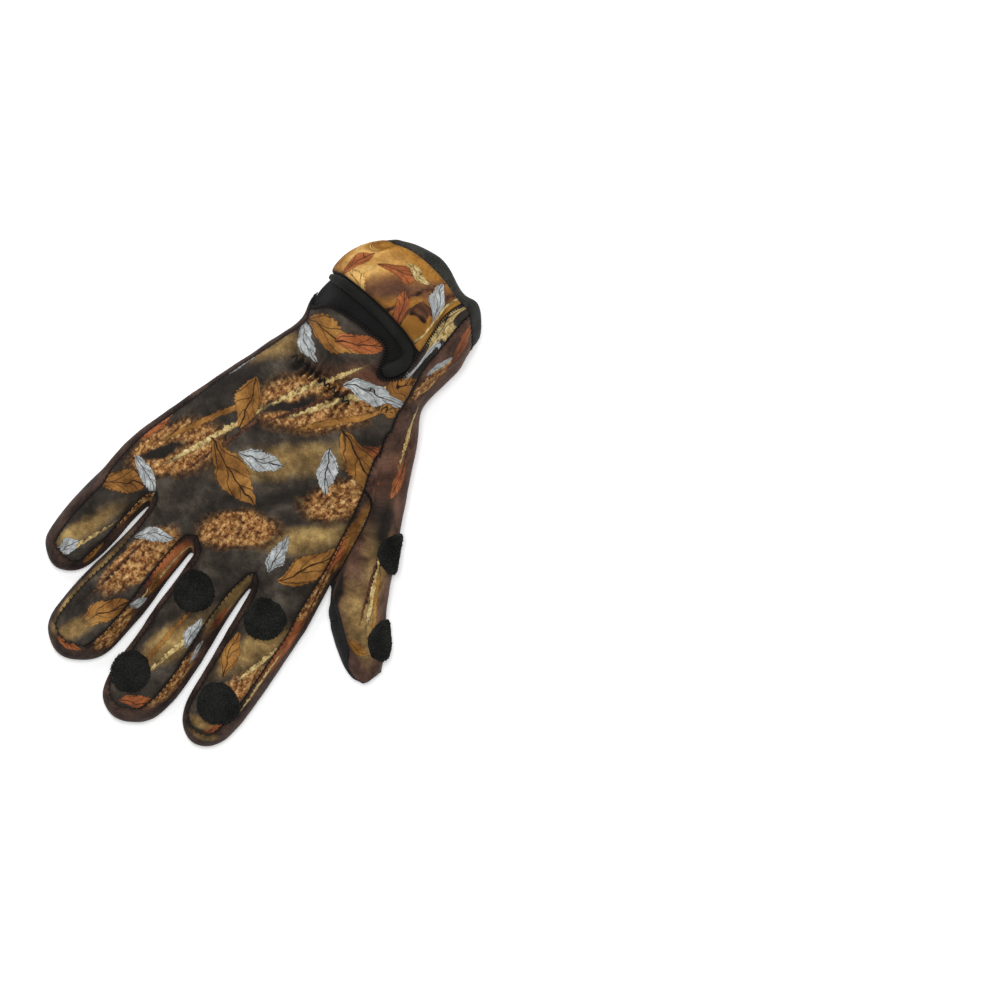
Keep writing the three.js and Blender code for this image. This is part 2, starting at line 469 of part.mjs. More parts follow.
// hook and loop discs, bent over the back
const SPOKES = 18;
for (const [name, x, y] of DOTS) {
  const c = above(x, y), n = c.normal;
  const u = unit(cross([0, 1, 0], n)), v = cross(n, u);
  const drop = (r, k) => {
    const a = k * 2 * Math.PI / SPOKES;
    const from = add(add(add(c.at, u, r * Math.cos(a)), v, r * Math.sin(a)), n, 30);
    const hit = meet(from, n.map(t => -t));
    return hit;
  };
  const verts = [], tris = [], rings = [0.45, 0.8, 1].map(f => f * DOT_RADIUS);
  for (const lift of [DOT_CLEAR + DOT_THICK, DOT_CLEAR]) {
    verts.push(add(c.at, n, lift));
    rings.forEach((r, m) => {
      for (let k = 0; k < SPOKES; k++) {
        const hit = drop(r, k);
        verts.push(add(hit.at, hit.normal, lift - (m === 2 && lift > DOT_CLEAR ? 0.35 : 0)));
      }
    });
  }
  const per = 1 + rings.length * SPOKES;
  const at = (layer, ring, k) => layer * per + 1 + ring * SPOKES + (k % SPOKES);
  for (let k = 0; k < SPOKES; k++) {
    tris.push([0, at(0, 0, k), at(0, 0, k + 1)], [per, at(1, 0, k + 1), at(1, 0, k)]);
    for (let m = 0; m < rings.length - 1; m++) {
      tris.push([at(0, m, k), at(0, m + 1, k), at(0, m + 1, k + 1)], [at(0, m, k), at(0, m + 1, k + 1), at(0, m, k + 1)]);
      tris.push([at(1, m, k), at(1, m + 1, k + 1), at(1, m + 1, k)], [at(1, m, k), at(1, m, k + 1), at(1, m + 1, k + 1)]);
    }
    const e = rings.length - 1;
    tris.push([at(0, e, k), at(1, e, k), at(1, e, k + 1)], [at(0, e, k), at(1, e, k + 1), at(0, e, k + 1)]);
  }
  put(name, FUZZ, verts, tris);
}

// rolled edge: an oval swept along its path on the underlap
{
  const curve = new THREE.CatmullRomCurve3(PIPING_PATH.map(([x, y]) => {
    const h = above(x, y);
    return new THREE.Vector3(...add(h.at, h.normal, -UNDERLAP_SINK + SEAM + PIPING.high));
  }));
  const STEPS = 26, SIDES = 10, verts = [], tris = [];
  const path = curve.getSpacedPoints(STEPS).map(p => p.toArray());
  path.forEach((p, i) => {
    const t = unit(add(path[Math.min(i + 1, STEPS)], path[Math.max(i - 1, 0)], -1));
    const up = skinOver(p[0], p[1]).normal, across = unit(cross(t, up)), high = cross(across, t);
    for (let k = 0; k < SIDES; k++) {
      const a = k * 2 * Math.PI / SIDES, shrink = i === 0 || i === STEPS ? 0.6 : 1;
      verts.push(add(add(p, across, PIPING.wide * shrink * Math.cos(a)), high, PIPING.high * shrink * Math.sin(a)));
    }
  });
  const at = (i, k) => i * SIDES + (k % SIDES);
  for (let i = 0; i < STEPS; i++) for (let k = 0; k < SIDES; k++) {
    tris.push([at(i, k), at(i + 1, k + 1), at(i, k + 1)], [at(i, k), at(i + 1, k), at(i + 1, k + 1)]);
  }
  const first = verts.push(path[0]) - 1, last = verts.push(path[STEPS]) - 1;
  for (let k = 0; k < SIDES; k++) tris.push([first, at(0, k), at(0, k + 1)], [last, at(STEPS, k + 1), at(STEPS, k)]);
  put('slit_binding', FUZZ, verts, tris);
}

// ---- origin: middle of the footprint, on the table ---------------------------------
const box = new THREE.Box3().setFromObject(group);
const shift = [-(box.min.x + box.max.x) / 2, -(box.min.y + box.max.y) / 2, -box.min.z];
for (const mesh of group.children) mesh.geometry.translate(...shift);

export default group;
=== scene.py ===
# %% [markdown]
# # A neoprene fishing glove, laid palm down
# The glove is sewn from printed neoprene for the back and black neoprene for the
# palm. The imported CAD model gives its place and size. This file builds the cloth,
# its seams, stitches, discs and print around it, in metres and in the same frame.

# %% Load the frame
import json, math
import bpy
import numpy as np
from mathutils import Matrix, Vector, noise
from mathutils.kdtree import KDTree
from mathutils.bvhtree import BVHTree

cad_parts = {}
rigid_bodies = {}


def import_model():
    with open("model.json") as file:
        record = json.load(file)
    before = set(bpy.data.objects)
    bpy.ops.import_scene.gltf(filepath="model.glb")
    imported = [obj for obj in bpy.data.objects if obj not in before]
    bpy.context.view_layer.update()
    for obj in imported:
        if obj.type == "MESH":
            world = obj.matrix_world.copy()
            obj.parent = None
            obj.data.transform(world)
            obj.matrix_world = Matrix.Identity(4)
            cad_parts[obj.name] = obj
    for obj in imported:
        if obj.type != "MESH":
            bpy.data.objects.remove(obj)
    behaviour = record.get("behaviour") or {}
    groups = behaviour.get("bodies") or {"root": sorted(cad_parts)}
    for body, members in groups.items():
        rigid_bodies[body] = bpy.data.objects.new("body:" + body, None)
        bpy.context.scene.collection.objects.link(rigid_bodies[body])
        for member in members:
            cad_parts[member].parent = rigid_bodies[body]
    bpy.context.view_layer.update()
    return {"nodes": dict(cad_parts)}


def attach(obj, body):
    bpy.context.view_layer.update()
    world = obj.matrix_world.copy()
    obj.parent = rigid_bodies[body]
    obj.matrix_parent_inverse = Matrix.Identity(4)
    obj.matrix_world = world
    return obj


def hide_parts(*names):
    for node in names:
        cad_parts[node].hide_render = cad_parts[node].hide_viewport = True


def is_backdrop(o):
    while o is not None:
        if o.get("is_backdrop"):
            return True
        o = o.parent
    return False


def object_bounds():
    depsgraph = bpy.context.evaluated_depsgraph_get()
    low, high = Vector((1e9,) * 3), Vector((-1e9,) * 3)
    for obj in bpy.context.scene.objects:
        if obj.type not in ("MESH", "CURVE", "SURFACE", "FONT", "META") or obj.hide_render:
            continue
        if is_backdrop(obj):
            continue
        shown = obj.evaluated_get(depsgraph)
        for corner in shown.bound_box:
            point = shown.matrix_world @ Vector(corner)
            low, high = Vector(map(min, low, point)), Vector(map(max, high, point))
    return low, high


for spare in list(bpy.data.objects):        # the new file's own cube, lamp and camera
    bpy.data.objects.remove(spare)
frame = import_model()

MM = 0.001
SHIFT = np.array([-18.8369, 0.2400, 0.0])   # from the drawing's origin to the middle of the footprint

# %% [markdown]
# ## The skin
# A glove has no simple form to start from, but its skin can be drawn as a coarse
# cage of four-sided cells, with its rows of corners on the seams. The same rows as
# in the part's source are used, so the cloth lies where the solids are.

# %% Rows of the hand, from the knuckles to the cuff's rim
# y, left, right, seam left, seam right, palm left, palm right, top, middle height
HAND = [
    (-38, -54.8, 57.6, -52.0, 51.5, -51.0, 53.5, 25.0, 11.0),
    (-18, -52.8, 56.0, -50.2, 49.2, -49.0, 49.5, 28.0, 12.0),
    (2, -46.4, 54.5, -44.4, 45.8, -42.6, 45.5, 31.0, 13.0),
    (22, -40.3, 52.5, -38.6, 41.0, -36.6, 41.5, 33.0, 14.0),
    (38, -34.8, 49.5, -33.2, 36.9, -31.2, 39.0, 34.5, 14.5),
    (50, -30.8, 47.2, -29.2, 34.5, -27.0, 37.0, 35.5, 15.0),
    (64, -26.9, 39.2, -25.6, 31.7, -23.5, 34.5, 38.0, 17.0),
    (76, -29.2, 39.3, -26.8, 29.8, -24.0, 34.5, 41.0, 18.5),
    (88, -28.5, 40.9, -27.6, 29.3, -24.5, 35.0, 43.0, 20.0),
    (102, -28.2, 39.8, -25.4, 29.8, -23.5, 34.0, 41.5, 19.5),
    (112, -27.5, 39.4, -19.5, 30.5, -22.0, 33.0, 38.0, 18.5),
    (122, -26.5, 38.5, -17.0, 31.0, -21.0, 32.0, 33.0, 17.0),
]
SHARE_KNUCKLES = [0, 0.09, 0.217, 0.35, 0.462, 0.63, 0.744, 0.885, 1]
SHARE_WRIST = [0, 0.1, 0.2, 0.32, 0.44, 0.575, 0.715, 0.857, 1]
SLIT_EDGE = [(-27, 70.5), (-22, 74.6), (-14.5, 76.8), (-6, 77.4), (3, 77.2), (11.2, 75.2), (15.2, 64.8),
    (23.8, 70.2), (29.8, 75)]
STRAP_LOW = [(-27.4, 89.2), (-21.5, 90), (-14, 90), (-6, 89.6), (2, 88.8), (9.5, 87.4), (16.5, 85.8),
    (23.4, 83.6), (29.3, 86)]
STRAP_HIGH = [(-19.2, 111.9), (-14.3, 114.5), (-9, 116.1), (-3, 116.9), (3.2, 116.7), (10.5, 115.6),
    (17.8, 113.8), (24.5, 112), (30.5, 110.3)]
RIM = [(-17.4, 114.4), (-13.2, 117.6), (-8, 120), (-2.8, 121.5), (3.2, 122.5), (9.6, 121.5), (16.4, 118.5),
    (24, 116.6), (31.8, 116)]
CUTS = {7: SLIT_EDGE, 8: STRAP_LOW, 10: STRAP_HIGH, 11: RIM}
# left side point, right side point, palm y, how far the palm's middle reaches beyond
CUFF_DIP = {9: ((-28.0, 94.5), (40.4, 93.6), 96, 3), 10: ((-27.2, 101), (39.7, 99.5), 103, 7),
    11: ((-26.6, 105.4), (39.7, 105.4), 108, 8)}
CROWN, SAG, RIM_DROP, PALM_INSET = 2.2, 1.4, 3.2, 3.4

# %% Rows of the fingers
# the tip; how far the back's seam lies in from the left side, the right side and the
# tip; the same beside a crotch, where it turns; the height at the root and at the end;
# then the rows from root to tip: y, left, right
FINGERS = {
    "pinky": ((-45.4, -87.0), 4.6, 3.4, 5.4, None, 3.2, 21.0, 17.0,
        [(-46, -55.6, -30.5), (-58, -57.0, -31.3), (-70, -57.5, -32.6), (-79, -56.5, -34.8)]),
    "ring": ((-20.3, -116.0), 3.2, 6.9, 6.0, 2.0, 6.2, 22.5, 18.0,
        [(-49, -28.9, -2.8), (-66, -30.8, -2.8), (-82, -33.2, -2.6), (-97, -34.2, -3.6),
            (-107, -32.8, -6.6)]),
    "middle": ((15.0, -122.8), 1.8, 6.6, 4.8, 1.9, 5.0, 22.5, 18.0,
        [(-50, -0.4, 27.2), (-67, 0.2, 28.8), (-84, 1.1, 30.8), (-101, 1.7, 31.4), (-113, 3.4, 28.9)]),
    "index": ((48.7, -110.6), 2.0, 5.2, 4.7, 1.6, None, 22.0, 17.5,
        [(-47, 29.2, 58.5), (-62, 31.4, 59.6), (-77, 33.3, 60.5), (-92, 35.1, 60.9), (-102, 37.5, 59.4)]),
}
TURN_RISE = 4.2      # how far the back seam climbs where it turns round a crotch
TIP_FLATTER = 0.94   # a fingertip is a little flatter than the finger
# where the back seam turns between two fingers, and where the gap between them ends
CROTCHES = [((-30.0, -34.7), (-28.9, -41.2)), ((-4.4, -38.8), (-1.6, -45.2)), ((25.6, -35.8), (27.6, -42.2))]

# %% Rings of the thumb: inner side, outer side, middle height, half height, turn of each point
THUMB = [
    ((57.3, -23.2), (60.5, 23.8), 12.8, 11.0, [164, 126, 94, 62, 30, -4, -44, -74, -104, -134, -162]),
    ((60.0, -28.1), (72.4, 1.6), 12.2, 11.2, [143, 112, 86, 56, 25, -9, -48, -78, -108, -140, -172]),
    ((63.9, -32.3), (79.8, -12.4), 11.6, 11.0, [128, 101, 76, 48, 20, -12, -50, -80, -110, -145, -184]),
    ((70.1, -37.4), (86.2, -20.6), 11.0, 10.6, [125, 99, 75, 48, 20, -12, -50, -80, -110, -145, -190]),
    ((76.7, -41.8), (92.0, -28.2), 10.0, 9.4, [127, 101, 75, 48, 20, -12, -50, -80, -110, -145, -190]),
]
THUMB_TIP = [(82.0, -43.1, 12.5), (85.6, -44.9, 10.6), (88.7, -45.6, 9.4), (91.4, -45.0, 8.6),
    (93.4, -42.6, 7.8), (94.5, -39.2, 6.8), (94.7, -35.0, 5.4)]
TONGUE = [(51.4, 2), (47.8, 18)]


# %% Height of the hand's skin over a point
def crown(r):
    """The round of the cloth across the hand: 1 in the middle and 0 at the sides."""
    return max(0.0, 1 - min(abs(r), 1) ** CROWN) ** (1 / CROWN)


def skin(x, y, side):
    """Height of the back's skin over a point, or of the palm's if side is negative."""
    at_y = lambda k: float(np.interp(y, [row[0] for row in HAND], [row[k] for row in HAND]))
    left, right, top, mid = at_y(1), at_y(2), at_y(7), at_y(8)
    r = (x - (left + right) / 2) / ((right - left) / 2)
    return mid + (top - mid) * crown(r) if side > 0 else mid - (mid + SAG) * crown(r)


# %% [markdown]
# ## The cage
# Each hand row is a ring of twenty corners: nine on the back, one on the thumb
# side, nine on the palm, one on the little finger's side. Fingers are rings of
# eight that join the first row, and the thumb is rings of eleven that grow out of a
# hole in the hand's side. Each cell knows which panel of cloth it belongs to.

# %% Corners and cells
corners, cells, owners = [], [], []


def corner(x, y, z):
    corners.append((x, y, z))
    return len(corners) - 1


def cell(owner, *at):
    cells.append(at)
    owners.append(owner)


def lerp(a, b, t):
    return a + (b - a) * t


hand = []
for r, (y0, left, right, seam_l, seam_r, palm_l, palm_r, top, mid) in enumerate(HAND):
    t = min(1, r / 5)
    share = [lerp(a, b, t) for a, b in zip(SHARE_KNUCKLES, SHARE_WRIST)]
    dip, row, palm = CUFF_DIP.get(r), [], []
    for j, s in enumerate(share):
        x, y = lerp(seam_l, seam_r, s), y0
        if r == 0 and j in (2, 4, 6):
            x, y = CROTCHES[j // 2 - 1][0]
        if r == 6 and 4 < j < 8:
            y -= (2, 6, 3)[j - 5]
        if r in CUTS:
            x, y = CUTS[r][j]
        row.append(corner(x, y, skin(x, y, 1) - (RIM_DROP if r == 11 else 0)))
        x, y = lerp(palm_l, palm_r, s), (dip[2] + dip[3] * (1 - (2 * s - 1) ** 2) if dip else y0)
        z = skin(x, y0, -1)
        if r == 0 and j in (2, 4, 6):
            (x, y), z = CROTCHES[j // 2 - 1][1], z + 1.5
            y += 2.4
        palm.append(corner(x, y, z))
    right_at = {1: (54.6, -18.6), 5: (47.4, 50.4)}.get(r, dip[1] if dip else (right, y0))
    left_at = dip[0] if dip else (left, y0)
    hand.append(row + [corner(*right_at, mid)] + palm[::-1] + [corner(*left_at, mid)])


def hand_owner(i, r):
    """The panel that the cell belongs to, or None in the hole for the thumb."""
    if r == 10:
        return "cuff_hem"
    if i < 8:
        return "back_panel" if r < 7 or i == 7 else "cuff_underlap"
    if i in (8, 9):
        return "side_strip_index" if r == 0 else None if r < 5 else "thumb_back"
    if i < 18:
        return "palm_panel"
    return "side_strip_pinky" if r < 7 else "cuff_underlap"


for r in range(11):
    for i in range(20):
        if hand_owner(i, r):
            k = (i + 1) % 20
            cell(hand_owner(i, r), hand[r][i], hand[r][k], hand[r + 1][k], hand[r + 1][i])
print("hand corners:", len(corners))

# %% Fingers
gaps = [corner(*gap, 11.5) for _, gap in CROTCHES]
for n, name in enumerate(FINGERS):
    tip_at, in_l, in_r, in_tip, turn_l, turn_r, root_h, end_h, rows = FINGERS[name]
    rings = []
    for k, (y, left, right) in enumerate(rows):
        c, a, top = (left + right) / 2, (right - left) / 2, lerp(root_h, end_h, k / (len(rows) - 1))
        tl, tr = (turn_l, turn_r) if k == 0 else (None, None)
        mid, sl, sr = top * 0.47, left + (tl or in_l), right - (tr or in_r)
        up = lambda x, rise=0: corner(x, y + rise, mid + (top - mid) * crown((x - c) / a))
        down = lambda x: corner(x, y, mid - (mid + SAG) * crown((x - c) / a))
        over_it = [up(sl, TURN_RISE if tl else 0), up((sl + sr) / 2), up(sr, TURN_RISE if tr else 0)]
        beside = corner(right, y, mid)
        under_it = [down(right - PALM_INSET), down(c), down(left + PALM_INSET)]
        rings.append(over_it + [beside] + under_it + [corner(left, y, mid)])
    a, mid, tips = (rows[-1][2] - rows[-1][1]) / 2, end_h * 0.46, []
    for i, (sx, sy, inset) in enumerate([(-0.62, 0.22, in_l), (0, 0, in_tip), (0.62, 0.22, in_r)]):
        gx, gy = tip_at[0] + sx * a, tip_at[1] + sy * a
        way = Vector((-sx * 0.8, 0.75)).normalized()
        seam = inset if i == 1 else (inset + in_tip) / 2
        up_at = lambda d: mid + (end_h - mid) * crown(1 - d / a) * TIP_FLATTER
        down_at = lambda d: mid - (mid + SAG) * crown(1 - d / a)
        back = corner(gx + way.x * seam, gy + way.y * seam, up_at(seam))
        middle, under = corner(gx, gy, mid), PALM_INSET + 0.6
        tips.append((back, middle, corner(gx + way.x * under, gy + way.y * under, down_at(under))))
    (tl, gl, pl), (tm, gm, pm), (tr, gr, pr) = tips
    j = 2 * n
    knuckles = hand[0]
    right_gap = knuckles[9] if n == 3 else gaps[n]
    left_gap = knuckles[19] if n == 0 else gaps[n - 1]
    root = [*knuckles[j:j + 3], right_gap, *knuckles[16 - j:19 - j], left_gap]
    strip, folds = "side_strip_" + name, name in ("middle", "index")
    whole = [[tl, tm, tr, gr, pr, pm, pl, gl]] + rings[::-1] + [root]
    for r in range(len(whole) - 1):
        for i in range(8):
            k = (i + 1) % 8
            palm = "palm_tip_" + name if folds and r < 2 else "palm_panel"
            owner = "back_panel" if i < 2 else palm if i in (4, 5) else strip
            cell(owner, whole[r][i], whole[r][k], whole[r + 1][k], whole[r + 1][i])
    for u, v in ((tips[0], tips[1]), (tips[1], tips[2])):
        cell(strip, u[0], u[1], v[1], v[0])
        cell(strip, u[1], u[2], v[2], v[1])

# %% Thumb
tongue = [corner(x, y, skin(x, y, 1)) for x, y in TONGUE]
thumb = [[hand[1][9], *tongue, hand[4][8], *hand[5][8:11], *(hand[r][10] for r in (4, 3, 2, 1))]]
cell("side_strip_index", hand[1][8], hand[1][9], tongue[0], hand[2][8])
cell("side_strip_index", hand[2][8], tongue[0], tongue[1], hand[3][8])
cell("thumb_back", hand[3][8], tongue[1], hand[4][8])
for inner, outer, mid, half, turns in THUMB:
    hx, hy, ring = (outer[0] - inner[0]) / 2, (outer[1] - inner[1]) / 2, []
    for deg in turns:
        c, s = math.cos(math.radians(deg)), math.sin(math.radians(deg))
        z = mid + (half if s > 0 else mid + SAG) * s
        ring.append(corner(inner[0] + hx * (1 + c), inner[1] + hy * (1 + c), z))
    thumb.append(ring)
for r in range(len(thumb) - 1):
    for i in range(11):
        k = (i + 1) % 11
        panel_here = "thumb_back" if i < 6 else "palm_tip_thumb" if r >= 3 else "thumb_palm"
        cell(panel_here, thumb[r][i], thumb[r + 1][i], thumb[r + 1][k], thumb[r][k])
over_tip, end = [corner(*p) for p in THUMB_TIP], thumb[-1]
for i in range(6):
    cell("thumb_back", end[i], over_tip[i], over_tip[i + 1], end[i + 1])
for p, e, g, q in ((6, 6, 5, 7), (7, 5, 4, 8), (8, 3, 2, 9), (9, 2, 1, 10), (10, 1, 0, 0)):
    cell("palm_tip_thumb", end[p], over_tip[e], over_tip[g], end[q])
cell("palm_tip_thumb", end[8], over_tip[4], over_tip[3])
print("cage:", len(corners), "corners,", len(cells), "cells")

# %% [markdown]
# ## From cage to smooth skin
# A Subdivision Surface modifier would pull the skin inside the cage. Here the same
# Catmull-Clark rule is worked out in numpy, so that the cage can first be moved
# until the skin passes through the drawn points. It also keeps each cell's panel.

# %% One Catmull-Clark step
def wire(polygons):
    """Corner, next corner, cell and edge of every cell corner, in flat arrays."""
    a = np.concatenate([np.array(p) for p in polygons])
    b = np.concatenate([np.roll(p, -1) for p in polygons])
    size = np.array([len(p) for p in polygons])
    f = np.repeat(np.arange(len(polygons)), size)
    start = np.repeat(np.cumsum(size) - size, size)
    before = start + (np.arange(len(a)) - start - 1) % np.repeat(size, size)
    ends, e = np.unique(np.sort(np.stack([a, b], 1), axis=1), axis=0, return_inverse=True)
    return dict(a=a, f=f, e=e.ravel(), before=before, ends=ends, cells=len(polygons))


def total(values, index, count):
    out = np.zeros((count, values.shape[1]))
    np.add.at(out, index, values)
    return out


def smooth_step(P, w):
    """One step: a point in each cell, one on each edge, and the old ones moved."""
    n, (u, v) = len(P), w["ends"].T
    of_cell = np.bincount(w["f"], minlength=w["cells"])[:, None]
    centre = total(P[w["a"]], w["f"], w["cells"]) / of_cell
    per_edge = np.bincount(w["e"], minlength=len(u))
    mid = (P[u] + P[v]) / 2
    edge = np.where((per_edge == 2)[:, None], mid / 2 + total(centre[w["f"]], w["e"], len(u)) / 4, mid)
    val = np.maximum(np.bincount(w["a"], minlength=n), 1)[:, None]
    degree = np.maximum(np.bincount(np.concatenate([u, v]), minlength=n), 1)[:, None]
    mean_c = total(centre[w["f"]], w["a"], n) / val
    mean_m = total(np.concatenate([mid, mid]), np.concatenate([u, v]), n) / degree
    vert = (mean_c + 2 * mean_m + (val - 3) * P) / val
    rim = per_edge == 1
    ru, rv = u[rim], v[rim]
    near = total(P[np.concatenate([rv, ru])], np.concatenate([ru, rv]), n)
    on_rim = np.zeros(n, bool)
    on_rim[np.concatenate([ru, rv])] = True
    vert[on_rim] = P[on_rim] * 0.75 + near[on_rim] / 8
    quads = np.stack([w["a"], n + w["cells"] + w["e"], n + w["f"], n + w["cells"] + w["e"][w["before"]]], 1)
    return np.concatenate([vert, centre, edge]), quads


def on_limit(P, Q):
    """Where the points of a four-sided mesh end up on the smooth skin."""
    n = len(P)
    val = np.maximum(np.bincount(Q.ravel(), minlength=n), 1)[:, None]
    ring = np.zeros_like(P)
    for k in range(4):
        np.add.at(ring, Q[:, k], 2 * P[Q[:, (k + 1) % 4]] + 2 * P[Q[:, (k + 3) % 4]] + P[Q[:, (k + 2) % 4]])
    out = (val * val * P + ring) / (val * (val + 5))
    sides = np.sort(np.concatenate([Q[:, [k, (k + 1) % 4]] for k in range(4)]), axis=1)
    e, count = np.unique(sides, axis=0, return_counts=True)
    u, v = e[count == 1].T
    near = total(P[np.concatenate([v, u])], np.concatenate([u, v]), n)
    rim = np.unique(np.concatenate([u, v]))
    out[rim] = (4 * P[rim] + near[rim]) / 6
    return out


# %% Fit the cage and divide it four times
drawn = np.array(corners, float)
first = wire(cells)
control = drawn.copy()
FIT_ROUNDS, FIT_STEP = 12, 0.9
for _ in range(FIT_ROUNDS):
    P, Q = smooth_step(control, first)
    control += FIT_STEP * (drawn - on_limit(P, Q)[: len(drawn)])
P, Q = smooth_step(control, first)
names = sorted(set(owners))
owner = np.array([names.index(o) for o in owners])[first["f"]]
parent = first["f"].copy()
LEVELS = 4
for _ in range(LEVELS - 1):
    P, Q = smooth_step(P, wire(list(Q)))
    owner, parent = np.repeat(owner, 4), np.repeat(parent, 4)
P = on_limit(P, Q)
P[:, 2] = np.maximum(P[:, 2], 0)
print("skin:", len(P), "points,", len(Q), "cells")


# %% [markdown]
# ## Relief of the worn cloth
# Neoprene is springy, so it has broad soft lumps and few sharp folds. The thumb and
# the fingers crease a little at their knuckles, and a row of elastic zigzag gathers
# the cloth at the wrist. A cloth simulation would let the sewn form sag, so all of
# it is moved along the skin's normals here. That is done before the panels are
# parted, so the relief runs on across the seams.

# %% Normals and relief
def normals_of(P, Q):
    n = np.cross(P[Q[:, 2]] - P[Q[:, 0]], P[Q[:, 3]] - P[Q[:, 1]])
    out = np.zeros_like(P)
    for k in range(4):
        np.add.at(out, Q[:, k], n)
    return out / np.maximum(np.linalg.norm(out, axis=1), 1e-9)[:, None]


def bell(d, width):
    return np.exp(-((d / width) ** 2))


def smooth_range(v, low, high, soft):
    """1 between low and high and 0 outside, with soft ends."""
    before = np.exp(np.clip((low - v) / soft, -60, 60))
    after = np.exp(np.clip((v - high) / soft, -60, 60))
    return 1 / (1 + before) / (1 + after)


# x0, y0, x1, y1, half width, depth of soft valleys on the back, in mm
CREASES = [
    (-24, 69, -23, 58, 3.0, 0.9), (-27, 60, -18, 52, 2.6, 0.7), (40, 64, 41, 45, 2.6, 0.9),
    (56, 16, 60, 0, 3.4, 0.8), (60, 10, 70, 3, 2.0, 0.4), (52, 30, 60, 22, 3.0, 0.5),
    (66, -6, 78, -12, 2.4, 0.5), (69, -10, 80, -16, 2.0, 0.35),
    (-30, -72, -8, -70, 2.2, 0.35), (4, -78, 24, -77, 2.2, 0.35), (34, -72, 54, -74, 2.2, 0.35),
    (-55, -60, -34, -58, 2.0, 0.3), (-48, -22, -30, -30, 4.0, 0.5), (-8, -20, 2, -36, 4.5, 0.6),
    (22, -16, 27, -34, 4.5, 0.6), (30, 84, 38, 78, 2.4, 0.6), (31, 70, 37, 70, 2.0, 0.6),
    (12, 60, 30, 44, 4.0, 0.5), (-6, 70, 8, 56, 4.0, 0.35),
]
N = normals_of(P, Q)
# place of each point on the flat cloth: sides are unrolled outwards, along the smooth skin's normals
UNROLL_FROM = 20                            # mm, about the height where the back turns into a side
print_place = P[:, :2] + (UNROLL_FROM - P[:, 2:3]) * N[:, :2]
x, y, z = P.T
upper = np.clip(N[:, 2] * 2.0, 0, 1)
free = np.clip((z - 1.0) / 4.0, 0, 1)       # nothing moves where the glove rests
broad = np.array([noise.noise(Vector(p) / 17.0) for p in P])
small = np.array([noise.noise(Vector(p) / 6.0 + Vector((9, 3, 5))) for p in P])
LUMPS, RIPPLES = 0.42, 0.14                 # mm
high = free * (LUMPS * broad + RIPPLES * small)
for x0, y0, x1, y1, width, deep in CREASES:
    dx, dy = x1 - x0, y1 - y0
    t = np.clip(((x - x0) * dx + (y - y0) * dy) / (dx * dx + dy * dy), 0, 1)
    away = np.hypot(x - x0 - t * dx, y - y0 - t * dy)
    fade = 0.35 + 0.65 * np.sin(np.pi * np.clip(t, 0.08, 0.92))
    high -= upper * deep * bell(away, width) * fade


# %% Puckers gathered by the elastic zigzag
SHIRR_FROM, SHIRR_TO, PUCKER_PITCH = -19, 12, 3.7


def shirr_y(x):
    return 48.6 - 0.045 * (x + 4)


gather = upper * smooth_range(x, SHIRR_FROM, SHIRR_TO, 0.9)
off = y - shirr_y(x)
ripple = np.cos(2 * np.pi * (x + 2.2 * small + 3.2 * broad) / PUCKER_PITCH)
reach = 6.0 + 4.0 * broad                   # some puckers run out further than others
channel = -1.0 * bell(off, 1.7)
puckers = 2.0 * ripple * bell(off + 1.2 - 0.9 * ripple, reach)
banks = 0.4 * bell(np.abs(off) - 4.4, 2.4)
pinch = gather * (channel + puckers + banks)
high += pinch
# painted shade: the colour is darkened in the valleys of the puckers and lumps, by their depth kept here
dent_mm = np.minimum(pinch, 0) + np.minimum(0.5 * broad + 0.5 * small, 0) * 0.5
P = P + N * high[:, None]
P[:, 2] = np.maximum(P[:, 2], 0)
N = normals_of(P, Q)
print("relief from", round(float(high.min()), 2), "to", round(float(high.max()), 2), "mm")

# %% How deep the cloth's inside may lie
# where the skin bends tightly, the lining is brought nearer to it, so that its cells don't fold
WALL, LEAST_SHARE = 2.5, 0.3
depth = np.ones(len(P))
for _ in range(30):
    inside = P - N * (WALL * depth)[:, None]
    hit = np.zeros(len(P), bool)
    for k, step in ((0, 1), (1, 1), (2, 1), (3, 1), (0, 2), (1, 2)):
        a, b = Q[:, k], Q[:, (k + step) % 4]
        e, d = P[b] - P[a], inside[b] - inside[a]
        ee = (e * e).sum(1)
        bad = ((d * e).sum(1) < 0.3 * ee) | ((d * d).sum(1) > 3.0 * ee)
        hit[a[bad]] = hit[b[bad]] = True
    depth[hit] = np.maximum(LEAST_SHARE, depth[hit] * 0.93)
print("thinnest wall:", round(float(WALL * depth.min()), 2), "mm")

# %% [markdown]
# ## Panels
# Every panel becomes a closed piece: the outside, the lining and the cut edge.
# Where two panels meet, each rolls over into the seam, which gives the dark line
# between them. A Bevel would round only hard edges of a flat wall, so the roll is
# three rings of points laid along the panel's border.

# %% Panel maker
def make_mesh(name, points_mm, faces):
    name = "sewn_" + name
    mesh = bpy.data.meshes.new(name)
    points = ((np.asarray(points_mm) + SHIFT) * MM).tolist()
    mesh.from_pydata(points, [], [tuple(int(i) for i in f) for f in faces])
    mesh.polygons.foreach_set("use_smooth", np.full(len(mesh.polygons), True))
    obj = bpy.data.objects.new(name, mesh)
    bpy.context.scene.collection.objects.link(obj)
    return obj


def keep_vectors(obj, name, values):
    kept = obj.data.attributes.new(name, "FLOAT_VECTOR", "POINT")
    kept.data.foreach_set("vector", np.asarray(values, np.float32).ravel())


def keep_numbers(obj, name, values):
    kept = obj.data.attributes.new(name, "FLOAT", "POINT")
    kept.data.foreach_set("value", np.asarray(values, np.float32))


def border_of(quads):
    """The sides that only one of the cells has, in the cell's own direction."""
    pairs = np.concatenate([quads[:, [k, (k + 1) % 4]] for k in range(4)])
    code = pairs[:, 0] * len(P) + pairs[:, 1]
    back = pairs[:, 1] * len(P) + pairs[:, 0]
    return pairs[~np.isin(code, back)]


